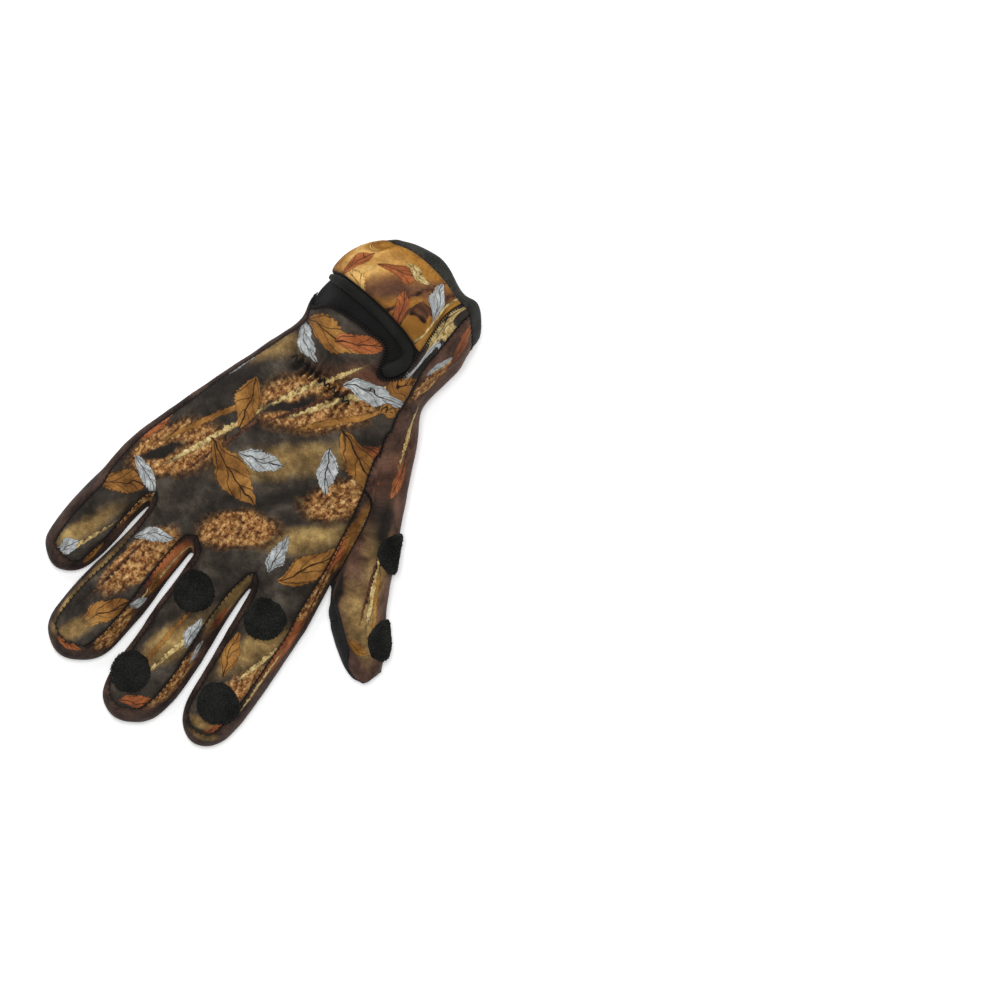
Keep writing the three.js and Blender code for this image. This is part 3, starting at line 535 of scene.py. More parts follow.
# distance in from the edge and drop below the surface, in mm, for the rolled rings
ROLL = [(0.62, 0.04), (0.30, 0.26), (0.12, 0.80)]
SEAM_SINK, SEAM_REACH = 0.38, 3.4           # the thread pulls the cloth down beside a seam
SLIT_GAP = 0.35                             # each side of the slits where fingertips fold back


def beside_seam(away):
    """1 on a seam, falling to 0 where its pull ends."""
    return (np.clip(1 - away / SEAM_REACH, 0, 1) ** 2)[:, None]


def panel(name, quads, lift=0.0, wall=WALL, bolt=(0, 0), slit=None, extra_sink=0.0):
    """A closed piece of cloth from cells of the skin, lifted off it by so many mm."""
    used, flat = np.unique(quads.ravel(), return_inverse=True)
    faces, n = flat.reshape(-1, 4), len(used)
    place = np.full(len(P), -1)
    place[used] = np.arange(n)
    rim = border_of(quads)
    inward = np.zeros((n, 3))
    for end in (0, 1):
        t = P[rim[:, 1]] - P[rim[:, 0]]
        t /= np.maximum(np.linalg.norm(t, axis=1), 1e-9)[:, None]
        np.add.at(inward, place[rim[:, end]], np.cross(N[rim[:, end]], t) / 2)
    size = np.linalg.norm(inward, axis=1)
    on_rim = np.zeros(n, bool)
    on_rim[place[rim.ravel()]] = True
    way = inward / np.maximum(size, 0.6)[:, None] ** 2
    # the roll is narrower where the cells are small
    pairs = np.concatenate([faces[:, [k, (k + 1) % 4]] for k in range(4)])
    cross_rim = on_rim[pairs[:, 0]] & ~on_rim[pairs[:, 1]]
    ca, cb = pairs[cross_rim].T
    length = np.full(n, 9.0)                # mm, more than any cell's side
    np.minimum.at(length, ca, np.linalg.norm(P[used[ca]] - P[used[cb]], axis=1))
    narrow = np.clip(length, 0.15, 1)
    base, up = P[used] + N[used] * lift, N[used]
    tree = KDTree(int(on_rim.sum()))
    for i in np.flatnonzero(on_rim):
        tree.insert(Vector(P[used[i]]), int(i))
    tree.balance()
    away = np.array([tree.find(Vector(p))[2] for p in P[used]])
    base = base - up * (SEAM_SINK + extra_sink) * beside_seam(away)
    gap = np.zeros(n)
    if slit is not None:
        gap = SLIT_GAP * np.isin(used, slit) * np.clip((6 - P[used, 2]) / 3, 0, 1)
    r = np.flatnonzero(on_rim)
    number = np.full(n, -1)
    number[r] = np.arange(len(r))
    shifts = [(d * narrow[r] + gap[r], h) for d, h in ROLL]
    outer = base.copy()
    outer[r] += way[r] * shifts[0][0][:, None] - up[r] * shifts[0][1]
    rings = [base[r] + way[r] * d[:, None] - up[r] * h for d, h in shifts[1:]]
    inner = base - up * (wall * depth[used])[:, None] + up * SEAM_SINK * beside_seam(away)
    inner[r] += way[r] * shifts[-1][0][:, None]
    points = np.concatenate([outer, *rings, inner])
    points[:, 2] = np.maximum(points[:, 2], 0)
    first = [n + k * len(r) for k in range(len(rings))]
    inside = n + len(rings) * len(r)
    out = [tuple(f) for f in faces] + [tuple(inside + f[::-1]) for f in faces]
    a, b = place[rim[:, 0]], place[rim[:, 1]]
    chain = [(a, b)] + [(f + number[a], f + number[b]) for f in first] + [(inside + a, inside + b)]
    for (a0, b0), (a1, b1) in zip(chain, chain[1:]):
        out += list(zip(b0, a0, a1, b1))
    obj = make_mesh(name, points, out)
    # what the cloth's material reads: place on the bolt, distance to the cut edge, depth of the dents for
    # painted shade, lining
    source = np.concatenate([used, *([used[r]] * len(rings)), used])
    flat_at = print_place[source] + np.array(bolt)
    keep_vectors(obj, "print_at", np.concatenate([flat_at, np.zeros((len(flat_at), 1))], 1))
    keep_numbers(obj, "dent_mm", dent_mm[source])
    on_rings = lambda first, second: [np.full(len(r), first), np.full(len(r), second)]
    keep_numbers(obj, "edge_mm", np.concatenate([away + ROLL[0][0], *on_rings(0.3, 0), np.zeros(n)]))
    keep_numbers(obj, "lining", np.concatenate([np.zeros(n), *on_rings(0, 0.6), np.ones(n)]))
    print(f"{name}: {sum(len(f) - 2 for f in out)} triangles")
    return obj


def quads_of(*panels):
    return Q[np.isin(owner, [names.index(p) for p in panels])]


# %% Which cells make the strap, and where the fingertips fold back
def touches(at, row):
    return any(i in hand[row] for i in at)


strap_cells = [n for n, at in enumerate(cells) if owners[n] == "cuff_underlap"
               and (touches(at, 8) and not touches(at, 7) or touches(at, 10))]
strap_quads = Q[(owner == names.index("cuff_underlap")) & np.isin(parent, strap_cells)]
FOLDS_FROM = {"palm_tip_middle": "palm_panel", "palm_tip_index": "palm_panel",
              "palm_tip_thumb": "thumb_palm"}
slit_points = np.concatenate([np.intersect1d(quads_of(a), quads_of(b)) for a, b in FOLDS_FROM.items()])
print("strap cells:", len(strap_cells), "points on the slits:", len(slit_points))

# %% Sew the panels
made = {}
# where each panel is cut from the bolt, as an offset in mm
BOLT = {"thumb_back": (400, 0), "side_strip_pinky": (150, 30), "side_strip_ring": (0, 400),
        "side_strip_middle": (200, 400), "side_strip_index": (400, 400)}
TAB_LIFT, TAB_WALL, STRAP_LIFT = -1.5, 2.0, 1.3
for name in names:
    if name == "cuff_underlap":
        made[name] = panel(name, quads_of(name), lift=TAB_LIFT, wall=TAB_WALL)
    else:
        slit = slit_points if "palm" in name else None
        made[name] = panel(name, quads_of(name), bolt=BOLT.get(name, (0, 0)), slit=slit)
made["wrist_strap"] = panel("wrist_strap", strap_quads, lift=STRAP_LIFT, bolt=(200, 0), extra_sink=0.5)
print("panels:", len(made))


# %% [markdown]
# ## Colours, nodes and the printed cloth
# The back is jersey knit glued to neoprene foam and printed with a woodland
# pattern. The print is not a picture: it is laid down in layers, as a printer
# would, from a table of generic patches, which are leaves, bark, stalks, twigs and
# soft blurs on a dark ground. Each panel was cut from another place of the same
# bolt, so each one carries its own place on the bolt as an attribute of its points.

# %% Colour and node helpers
def linear(hexa):
    """An sRGB hex colour as linear numbers."""
    parts = [int(hexa[i:i + 2], 16) / 255 for i in (1, 3, 5)]
    return tuple(c / 12.92 if c <= 0.04045 else ((c + 0.055) / 1.055) ** 2.4 for c in parts) + (1.0,)


def add(tree, kind, feeds=None, steps=(), **settings):
    """Adds a node. Feeds maps an input's name or number to a value, a socket or a node,
    whose first output is meant; steps are the stops of a colour ramp."""
    made_node = tree.nodes.new(kind)
    for key, value in settings.items():
        setattr(made_node, key, value)
    for key, value in (feeds or {}).items():
        if isinstance(value, bpy.types.Node):
            value = value.outputs[0]
        if isinstance(value, bpy.types.NodeSocket):
            tree.links.new(value, made_node.inputs[key])
        else:
            made_node.inputs[key].default_value = value
    for k, (at, hexa) in enumerate(steps):
        stops = made_node.color_ramp.elements
        stop = stops[k] if k < len(stops) else stops.new(at)
        stop.position, stop.color = at, linear(hexa)
    return made_node


def new_material(name):
    mat = bpy.data.materials.new(name)
    mat.use_nodes = True
    mat.node_tree.nodes.clear()
    tree = mat.node_tree
    shader = add(tree, "ShaderNodeBsdfPrincipled")
    add(tree, "ShaderNodeOutputMaterial", {"Surface": shader})
    return mat, tree, shader


KNIT_RELIEF = 0.00022                       # metres from the bottom of a loop to its top


def knit_bump(tree, shader, at, pitch_mm, strength, grain=0.4):
    """Rows of jersey loops and a little fuzz, as a bump; gives back the fuzz."""
    rows = add(tree, "ShaderNodeTexVoronoi", {"Vector": at, "Scale": 1 / pitch_mm, "Randomness": 0.35},
        voronoi_dimensions="3D")
    fuzz = add(tree, "ShaderNodeTexNoise", {"Vector": at, "Scale": 2.2 / pitch_mm, "Detail": 3.0})
    both = add(tree, "ShaderNodeMath", {0: rows.outputs["Distance"], 1: -1.0, 2: 1.0},
        operation="MULTIPLY_ADD")
    height = add(tree, "ShaderNodeMath", {0: fuzz, 1: grain, 2: both}, operation="MULTIPLY_ADD")
    bump = add(tree, "ShaderNodeBump", {"Strength": strength, "Distance": KNIT_RELIEF, "Height": height})
    tree.links.new(bump.outputs[0], shader.inputs["Normal"])
    return fuzz.outputs[0]


# %% A leaf to stamp: its outline and its veins, in its own coordinates from -1 to 1
leaf_stamp = bpy.data.node_groups.new("leaf stamp", "ShaderNodeTree")
leaf_stamp.interface.new_socket("At", in_out="INPUT", socket_type="NodeSocketVector")
leaf_stamp.interface.new_socket("Mask", in_out="OUTPUT", socket_type="NodeSocketFloat")
leaf_stamp.interface.new_socket("Vein", in_out="OUTPUT", socket_type="NodeSocketFloat")
# a lens with pointed ends and a toothed edge, a midrib and slanting side ribs
g_in = add(leaf_stamp, "NodeGroupInput")
split = add(leaf_stamp, "ShaderNodeSeparateXYZ", {0: g_in})
u, v = split.outputs[0], split.outputs[1]
side = add(leaf_stamp, "ShaderNodeMath", {0: v}, operation="ABSOLUTE")
from_middle = add(leaf_stamp, "ShaderNodeMath", {0: u}, operation="ABSOLUTE")
taper = add(leaf_stamp, "ShaderNodeMath", {0: from_middle, 1: 1.7}, operation="POWER")
body = add(leaf_stamp, "ShaderNodeMath", {0: 1.0, 1: taper}, operation="SUBTRACT")
wave = add(leaf_stamp, "ShaderNodeMath", {0: u, 1: 40.0}, operation="MULTIPLY")
swing = add(leaf_stamp, "ShaderNodeMath", {0: wave}, operation="COSINE")
teeth = add(leaf_stamp, "ShaderNodeMath", {0: swing, 1: 0.05, 2: 0.95}, operation="MULTIPLY_ADD")
width = add(leaf_stamp, "ShaderNodeMath", {0: body, 1: teeth}, operation="MULTIPLY")
inward = add(leaf_stamp, "ShaderNodeMath", {0: width, 1: side}, operation="SUBTRACT")
inside_leaf = add(leaf_stamp, "ShaderNodeMapRange", {"Value": inward, "From Min": -0.02, "From Max": 0.05})
midrib = add(leaf_stamp, "ShaderNodeMapRange",
             {"Value": side, "From Min": 0.02, "From Max": 0.07, "To Min": 1.0, "To Max": 0.0})
back_swept = add(leaf_stamp, "ShaderNodeMath", {0: side, 1: -1.5}, operation="MULTIPLY")
rib_count = add(leaf_stamp, "ShaderNodeMath", {0: u, 1: 1.67, 2: back_swept}, operation="MULTIPLY_ADD")
slant = add(leaf_stamp, "ShaderNodeMath", {0: rib_count}, operation="FRACT")
from_rib = add(leaf_stamp, "ShaderNodeMath", {0: slant, 1: 0.5}, operation="SUBTRACT")
off_rib = add(leaf_stamp, "ShaderNodeMath", {0: from_rib}, operation="ABSOLUTE")
rib = add(leaf_stamp, "ShaderNodeMapRange",
          {"Value": off_rib, "From Min": 0.02, "From Max": 0.08, "To Min": 0.8, "To Max": 0.0})
veins = add(leaf_stamp, "ShaderNodeMath", {0: midrib, 1: rib}, operation="MAXIMUM")
add(leaf_stamp, "NodeGroupOutput", {"Mask": inside_leaf, "Vein": veins})


# %% Printed neoprene
def wander(tree, at, noise_node, reach_mm):
    """The place, pushed to either side by a noise."""
    there = add(tree, "ShaderNodeVectorMath",
                {0: noise_node.outputs["Color"], 1: (2 * reach_mm, 2 * reach_mm, 0.0), 2: at},
                operation="MULTIPLY_ADD")
    back = add(tree, "ShaderNodeVectorMath", {0: there, 1: (reach_mm, reach_mm, 0.0)}, operation="SUBTRACT")
    return back.outputs[0]


def shaded(tree, colour, value, from_min, from_max, to_min, to_max):
    """The colour, darker or lighter as a value goes through a range."""
    amount = add(tree, "ShaderNodeMapRange",
                 {"Value": value, "From Min": from_min, "From Max": from_max,
                  "To Min": to_min, "To Max": to_max})
    return add(tree, "ShaderNodeVectorMath", {0: colour, "Scale": amount}, operation="SCALE").outputs[0]


def blended(tree, share, under, upper_paint):
    """One colour laid over another."""
    return add(tree, "ShaderNodeMix", {"Factor": share, 6: under, 7: upper_paint},
        data_type="RGBA").outputs[2]


def printed_neoprene(name, patches, ground=("#221e19", "#37302a", "#4e473e"),
        gold=("#5d3a18", "#8b5f2d", "#ab7b3f")):
    """Jersey-faced neoprene: dull, faintly hairy, and dark foam shows at its cut edges."""
    mat, tree, shader = new_material(name)
    at = add(tree, "ShaderNodeAttribute", attribute_name="print_at").outputs["Vector"]
    # noises by the size of their spots: 11 mm, 2.1 mm and 0.8 mm, and a grain drawn out one way
    broad = add(tree, "ShaderNodeTexNoise", {"Vector": at, "Scale": 1 / 11, "Detail": 2.0})
    fine = add(tree, "ShaderNodeTexNoise", {"Vector": at, "Scale": 1 / 2.1, "Detail": 5.0,
            "Roughness": 0.66})
    speck = add(tree, "ShaderNodeTexNoise", {"Vector": at, "Scale": 1 / 0.8, "Detail": 2.0})
    slope = add(tree, "ShaderNodeMapping", {"Vector": at, "Rotation": (0, 0, math.radians(-62)),
            "Scale": (0.5, 0.24, 1)})
    grain = add(tree, "ShaderNodeTexNoise", {"Vector": slope, "Scale": 1.0, "Detail": 6.0, "Roughness": 0.7})
    # three ways for an outline to wander: broad and smooth, broad and ragged, fine
    smooth_way = wander(tree, at, broad, 3.5)
    ragged_way = wander(tree, smooth_way, fine, 1.2)
    fine_way = wander(tree, at, fine, 1.8)
    rough = add(tree, "ShaderNodeMath", {0: fine, 1: grain}, operation="ADD")
    mottle = add(tree, "ShaderNodeMath", {0: rough, 1: 0.9, 2: -0.4}, operation="MULTIPLY_ADD")
    soft_way = add(tree, "ShaderNodeMix", {"Factor": 0.3, 2: broad, 3: fine})
    # bark splits into plates: thin dark cracks between ragged cells
    cracks = add(tree, "ShaderNodeTexVoronoi", {"Vector": ragged_way, "Scale": 1 / 2.3, "Randomness": 1.0},
        feature="DISTANCE_TO_EDGE")
    plate = add(tree, "ShaderNodeMapRange", {"Value": cracks, "From Min": 0.0, "From Max": 0.14,
            "To Min": -0.08, "To Max": 0.0})
    split_mottle = add(tree, "ShaderNodeMath", {0: mottle, 1: plate}, operation="ADD")
    palette = {
        "bark": (split_mottle, [(0.24, "#21130b"), (0.36, "#5a361e"), (0.46, "#86592f"), (0.56, "#ad8350"),
                (0.7, "#cfae7c")]),
        "pale": (split_mottle, [(0.24, "#4d3820"), (0.38, "#967a4b"), (0.50, "#c0a86f"), (0.64, "#d2bf8d")]),
        "lichen": (mottle, [(0.26, "#5b5145"), (0.37, "#8d8d88"), (0.52, "#a4a9ab"), (0.7, "#bcbfbc")]),
        "gold": (soft_way, [(0.36, gold[0]), (0.5, gold[1]), (0.64, gold[2])]),
        "rust": (soft_way, [(0.36, "#62331f"), (0.5, "#98562f"), (0.64, "#b87044")]),
        "blur": (soft_way, [(0.34, "#4f3f24"), (0.5, "#846940"), (0.64, "#ad9059")]),
        "dusk": (soft_way, [(0.35, "#171411"), (0.65, "#2b2621")]),
        "twig": (fine, [(0.36, "#20130d"), (0.5, "#4b2f20"), (0.66, "#6d4a33")]),
        "earth": (soft_way, [(0.35, "#3f281c"), (0.65, "#6f4a36")]),
        "ground": (soft_way, [(0.36, ground[0]), (0.5, ground[1]), (0.64, ground[2])]),
    }
    paints = {}
    for kind, (drive, steps) in palette.items():
        paints[kind] = add(tree, "ShaderNodeValToRGB", {"Fac": drive}, steps=steps).outputs["Color"]
    dark_line, colour = linear("#1f140d"), paints["ground"]
    for kind, x0, y0, turn, half_u, half_v, soft in patches:
        leaf = kind.endswith("leaf")
        paint = paints[kind.replace(" leaf", "")]
        way = smooth_way if leaf or soft > 0.35 else ragged_way if min(half_u, half_v) > 5 else fine_way
        own = add(tree, "ShaderNodeMapping",
                  {"Vector": way, "Location": (x0, y0, 0), "Rotation": (0, 0, math.radians(turn)),
                   "Scale": (half_u, half_v, 1)}, vector_type="TEXTURE")
        if leaf:
            stamp = add(tree, "ShaderNodeGroup", {0: own}, node_tree=leaf_stamp)
            paint = blended(tree, stamp.outputs["Vein"], paint, dark_line)
            mask = stamp.outputs["Mask"]
        else:
            flat = add(tree, "ShaderNodeVectorMath", {0: own, 1: (1.0, 1.0, 0.0)}, operation="MULTIPLY")
            reach = add(tree, "ShaderNodeVectorMath", {0: flat}, operation="LENGTH")
            mask = add(tree, "ShaderNodeMapRange",
                       {"Value": reach.outputs["Value"], "From Min": 1 - soft, "From Max": 1 + soft,
                        "To Min": 1.0, "To Max": 0.0}, interpolation_type="SMOOTHSTEP").outputs[0]
        colour = blended(tree, mask, colour, paint)
        if leaf or (soft < 0.25 and kind in ("bark", "pale", "gold")):
            # the printer's dark line round a hard-edged patch
            beyond = add(tree, "ShaderNodeMath", {0: 1.0, 1: mask}, operation="SUBTRACT")
            band = add(tree, "ShaderNodeMath", {0: mask, 1: beyond}, operation="MULTIPLY")
            rim = add(tree, "ShaderNodeMath", {0: band, 1: 2.6}, operation="MULTIPLY", use_clamp=True)
            colour = blended(tree, rim, colour, dark_line)
    # fibres take the dye unevenly; beside the seams and in the dents the colour is darkened as painted shade
    cloud = add(tree, "ShaderNodeTexNoise", {"Vector": ragged_way, "Scale": 1 / 6.5, "Detail": 4.0,
            "Roughness": 0.6})
    edge = add(tree, "ShaderNodeAttribute", attribute_name="edge_mm").outputs["Fac"]
    dent_shade = add(tree, "ShaderNodeAttribute", attribute_name="dent_mm").outputs["Fac"]
    for value, *ranges in ((speck, 0.3, 0.7, 0.8, 1.16), (cloud, 0.33, 0.67, 0.66, 1.18),
                           (edge, 0.6, 3.0, 0.62, 1.0), (dent_shade, -1.5, 0.0, 0.4, 1.04)):
        colour = shaded(tree, colour, value, *ranges)
    # the dark foam at the cut edge, and the lining
    cut = add(tree, "ShaderNodeMapRange", {"Value": edge, "From Min": 0.2, "From Max": 0.7, "To Min": 1.0,
            "To Max": 0.0})
    colour = blended(tree, cut, colour, linear("#120e0d"))
    inside = add(tree, "ShaderNodeAttribute", attribute_name="lining").outputs["Fac"]
    inside = add(tree, "ShaderNodeMath", {0: inside, 1: 1.6}, operation="MULTIPLY", use_clamp=True)
    colour = blended(tree, inside, colour, linear("#19181a"))
    tree.links.new(colour, shader.inputs["Base Color"])
    fuzz = knit_bump(tree, shader, at, 1.0, 0.35)
    dull = add(tree, "ShaderNodeMapRange", {"Value": fuzz, "To Min": 0.72, "To Max": 0.9})
    tree.links.new(dull.outputs[0], shader.inputs["Roughness"])
    shader.inputs["Sheen Weight"].default_value = 0.03
    shader.inputs["Sheen Roughness"].default_value = 0.5
    shader.inputs["Specular IOR Level"].default_value = 0.14
    return mat


# %% Where each kind of patch lies on the bolt, in mm: kind, x, y, turn, half sizes, softness
HAND_PRINT = [
    ("dusk", -34, 20, 35, 26, 9, 0.6), ("blur", -30, 44, 40, 18, 6, 0.6), ("blur", 8, 14, 48, 26, 6, 0.6),
    ("dusk", 20, 4, 48, 24, 4, 0.5), ("blur", 34, -8, 48, 18, 5, 0.6), ("earth", 14, 62, 40, 24, 8, 0.6),
    ("bark", 2, 40, 44, 27.6, 11.6, 0.2), ("bark", -34, -14, 52, 23, 11.6, 0.2),
    ("bark", 36, 16, 50, 20.7, 8.7, 0.2), ("bark", 8, -24, 40, 17.2, 8.7, 0.2),
    ("dusk", -6, 32, 50, 14, 2.4, 0.4), ("dusk", -38, -18, 56, 12, 2.2, 0.4),
    ("pale", 10, 50, 58, 27, 1.5, 0.2), ("pale", -2, 47, 64, 24, 1.1, 0.2),
    ("twig", 4, 44, 61, 30, 0.9, 0.2), ("gold", 16, 44, 52, 25, 1.3, 0.2),
    ("pale", -23, 2, 66, 25, 1.3, 0.2), ("gold", -30, 4, 60, 22, 1.2, 0.2),
    ("twig", -18, 2, 71, 24, 0.8, 0.2),
    ("gold leaf", -8, 70, 12, 14.6, 6.9, 0), ("rust leaf", 3, 76, 40, 9.8, 4.6, 0),
    ("lichen leaf", -15, 59, -28, 11, 4.6, 0), ("gold leaf", 22, 68, 104, 13.4, 5.9, 0),
    ("lichen leaf", 16, 59, 18, 11, 4.4, 0), ("pale leaf", 22, 96, 84, 13.4, 5.4, 0),
    ("lichen leaf", 20, 84, 112, 9.8, 3.6, 0),
    ("gold leaf", 30, 30, -32, 15.9, 6.9, 0), ("lichen leaf", 22, 20, -62, 11, 4.4, 0),
    ("rust leaf", 36, 41, 12, 12.2, 5.4, 0), ("gold leaf", -8, -6, -18, 17.1, 7.4, 0),
    ("lichen leaf", -2, 6, 22, 9.8, 4.1, 0), ("gold leaf", -20, 22, -74, 12.2, 5.4, 0),
    ("lichen leaf", -36, 33, 66, 9.8, 4.1, 0),
    ("gold leaf", 42, -18, 64, 15.9, 7.2, 0), ("lichen leaf", 28, -22, 96, 9.8, 4.1, 0),
    ("gold leaf", -46, -40, 30, 12.2, 5.9, 0), ("lichen leaf", -38, -30, -22, 9.8, 4.1, 0),
    ("rust leaf", -50, -10, 80, 12.2, 5.4, 0),
    ("blur", -45, -66, 70, 16, 4, 0.7), ("pale", -41, -70, 68, 16, 0.9, 0.2),
    ("lichen leaf", -46, -78, 56, 7.3, 3.3, 0),
    ("bark", -18, -62, 76, 20.7, 7.2, 0.25), ("gold leaf", -16, -90, 62, 13.4, 5.9, 0),
    ("twig", -23, -70, 82, 20, 0.8, 0.2), ("lichen leaf", -20, -50, 40, 8.5, 3.6, 0),
    ("blur", -22, -104, 60, 9, 4, 0.6),
    ("blur", 15, -82, 72, 20, 6, 0.6), ("pale", 19, -80, 78, 20, 1.1, 0.2),
    ("gold", 12, -84, 84, 20, 1.0, 0.2), ("rust leaf", 20, -112, 30, 9.8, 4.4, 0),
    ("lichen leaf", 20, -72, 100, 8.5, 3.6, 0),
    ("blur", 46, -62, 64, 18, 6, 0.6), ("bark", 52, -78, 70, 13.8, 5.8, 0.25),
    ("gold leaf", 38, -70, 110, 11, 5.1, 0), ("pale", 52, -62, 76, 16, 1.0, 0.2),
    ("rust leaf", 53, -100, 60, 7.3, 3.6, 0), ("blur", 45, -102, 30, 8, 3, 0.5),
]
STRAP_PRINT = [
    ("earth", 202, 96, 30, 16, 3, 0.8), ("gold", 190, 98, 30, 10, 5, 0.4),
    ("twig", 211, 97, 64, 14, 1.0, 0.2), ("twig", 206, 96, 58, 14, 0.7, 0.2),
    ("pale", 215, 97, 70, 12, 0.8, 0.2),
    ("rust leaf", 199, 100, 24, 7, 3.0, 0), ("gold leaf", 192, 91.5, 140, 6, 2.6, 0),
    ("rust leaf", 187, 96, 74, 6, 2.6, 0), ("rust leaf", 205, 91.5, 118, 6, 2.6, 0),
    ("gold leaf", 183, 103, 20, 5, 2.4, 0),
    ("lichen leaf", 212, 100, 100, 5, 2.0, 0), ("pale leaf", 203, 103, -14, 6, 2.2, 0),
]
THUMB_PRINT = [
    ("blur", 476, -24, -40, 17, 7, 0.6), ("blur", 464, 2, -56, 14, 5, 0.7),
    # the smaller dusk patch at 457, -18 is painted shade: a soft dark band along the thumb's edge
    ("dusk", 456, 16, -60, 16, 4, 0.6), ("dusk", 457, -18, -58, 9, 3.0, 0.4),
    ("pale", 470, -10, -62, 16, 1.2, 0.2), ("gold", 475, -14, -56, 16, 1.1, 0.2),
    ("twig", 467, -8, -66, 18, 0.7, 0.2), ("lichen leaf", 466, 8, 18, 6, 2.4, 0),
    ("gold leaf", 481, -34, 10, 7, 3.0, 0),
    ("earth", 446, 40, -64, 14, 6, 0.6), ("rust leaf", 448, 34, -70, 10, 4.0, 0),
    ("pale", 439, 52, -70, 15, 1.2, 0.2), ("twig", 442, 50, -66, 16, 0.7, 0.2),
    ("bark", 427, 78, 84, 13, 4.6, 0.2), ("rust leaf", 427, 98, 100, 10, 4.0, 0),
    ("lichen leaf", 424, 86, 70, 6, 2.2, 0),
]
STRIP_PRINT = [
    ("rust", -5, 344, 90, 13, 8, 0.3), ("pale", -3, 340, 84, 20, 1.1, 0.2),
    ("lichen leaf", -4, 322, 62, 7, 3.0, 0), ("bark", -5, 306, 90, 13, 8, 0.2),
    ("gold leaf", -4, 334, 110, 7, 3.0, 0), ("blur", -31, 310, 90, 26, 5, 0.5),
    ("rust leaf", -20, 286, 10, 9, 3.6, 0),
    ("blur", 226, 348, 90, 16, 6, 0.4), ("rust leaf", 228, 340, 80, 8, 3.4, 0),
    ("bark", 228, 306, 84, 16, 6, 0.3), ("lichen leaf", 229, 322, 100, 6, 2.4, 0),
    ("earth", 214, 286, 20, 12, 5, 0.5),
    ("gold", 449, 400, 98, 20, 6, 0.3), ("bark", 452, 372, 96, 14, 7, 0.2),
    ("rust leaf", 448, 392, 104, 10, 4.0, 0), ("lichen leaf", 452, 410, 96, 7, 2.6, 0),
    ("twig", 455, 372, 112, 16, 0.7, 0.2), ("rust", 457, 346, 92, 16, 5, 0.4),
    ("pale", 459, 330, 94, 18, 1.0, 0.2), ("blur", 452, 292, 20, 9, 3, 0.5),
    ("bark", 118, -14, 90, 13, 4, 0.2), ("gold leaf", 118, -44, 96, 8, 3.4, 0),
    ("pale", 120, 10, 88, 20, 1.0, 0.2),
]
print("patches of print:", len(HAND_PRINT) + len(STRAP_PRINT) + len(THUMB_PRINT) + len(STRIP_PRINT))
finish = {
    "hand": printed_neoprene("printed neoprene of the back", HAND_PRINT),
    "strap": printed_neoprene("printed neoprene of the strap", STRAP_PRINT,
        ("#6b4220", "#976728", "#b07d3a"), ("#976a34", "#c2934f", "#dcb672")),
    "thumb": printed_neoprene("printed neoprene of the thumb", THUMB_PRINT,
        ("#33221a", "#523a2f", "#6b4e3f"), ("#6f4a1c", "#96692d", "#b08546")),
    "strips": printed_neoprene("printed neoprene of the side strips", STRIP_PRINT,
        ("#221815", "#3d2c25", "#523e34")),
}


# %% [markdown]
# ## Black cloths and threads
# The palm and the cuff's hem are plain black neoprene. Black cloth is never quite
# black, because its fuzz catches some light. So each finish here runs between two
# dark greys, with a high roughness and very little sheen. The discs and the tab are
# loop fabric, and the thread is spun polyester.

# %% Black finishes
def black_cloth(name, dark, light, pitch, strength, sheen, grain=0.5):
    """Plain black cloth: pitch is the size of its knit in mm, grain how fuzzy it is."""
    mat, tree, shader = new_material(name)
    metres = add(tree, "ShaderNodeTexCoord").outputs["Object"]
    at = add(tree, "ShaderNodeMapping", {"Vector": metres, "Scale": (1000, 1000, 1000)}).outputs[0]
    fuzz = knit_bump(tree, shader, at, pitch, strength, grain)
    cloud = add(tree, "ShaderNodeTexNoise", {"Vector": at, "Scale": 1 / 9, "Detail": 3.0})
    mixed = add(tree, "ShaderNodeMix", {"Factor": 0.5, 2: cloud, 3: fuzz})
    shades = add(tree, "ShaderNodeValToRGB", {"Fac": mixed}, steps=[(0.35, dark), (0.68, light)])
    tree.links.new(shades.outputs["Color"], shader.inputs["Base Color"])
    dull = add(tree, "ShaderNodeMapRange", {"Value": fuzz, "To Min": 0.7, "To Max": 0.95})
    tree.links.new(dull.outputs[0], shader.inputs["Roughness"])
    shader.inputs["Sheen Weight"].default_value = sheen
    shader.inputs["Sheen Roughness"].default_value = 0.4
    shader.inputs["Specular IOR Level"].default_value = 0.2
    return mat


# a tight jersey face, nearly flat to the eye
finish["palm"] = black_cloth("black neoprene", "#141415", "#262625", 1.1, 0.4, 0.04)
# ribs that catch the light, so this is the lightest of the blacks
finish["hem"] = black_cloth("ribbed black neoprene", "#10100f", "#403f3a", 1.5, 0.9, 0.03)
# brushed loops, which swallow the light
finish["tab"] = black_cloth("brushed black loop cloth", "#050505", "#121211", 1.2, 0.9, 0.01, 0.9)
# a soft knit with a fuzzy face
finish["tape"] = black_cloth("black knit tape", "#0a0b09", "#1f211c", 1.1, 0.9, 0.02, 0.9)
# stiff open loops: dark between them and grey on top
finish["loops"] = black_cloth("black loop pile", "#030303", "#2a2a27", 2.0, 1.0, 0.01, 0.9)
# spun polyester, a brown black
finish["thread"] = black_cloth("dark sewing thread", "#0f0c0b", "#221c1a", 0.5, 0.5, 0.03)
FINISH_OF = {"back_panel": "hand", "wrist_strap": "strap", "thumb_back": "thumb", "cuff_hem": "hem",
    "cuff_underlap": "tab"}
for name, obj in made.items():
    kind = FINISH_OF.get(name, "strips" if name.startswith("side_strip") else "palm")
    obj.data.materials.append(finish[kind])
print("finishes:", sorted(finish))

# %% [markdown]
# ## Things laid on the skin
# The discs, the rolled tape and the zigzag all lie on cloth that is already bent.
# A BVH tree answers where a line meets the skin, so each is drawn flat first and
# then dropped onto it. Shrinkwrap would do the same for one mesh at a time.

# %% Where a line meets the skin
skin_tree = BVHTree.FromPolygons(P.tolist(), Q.tolist())


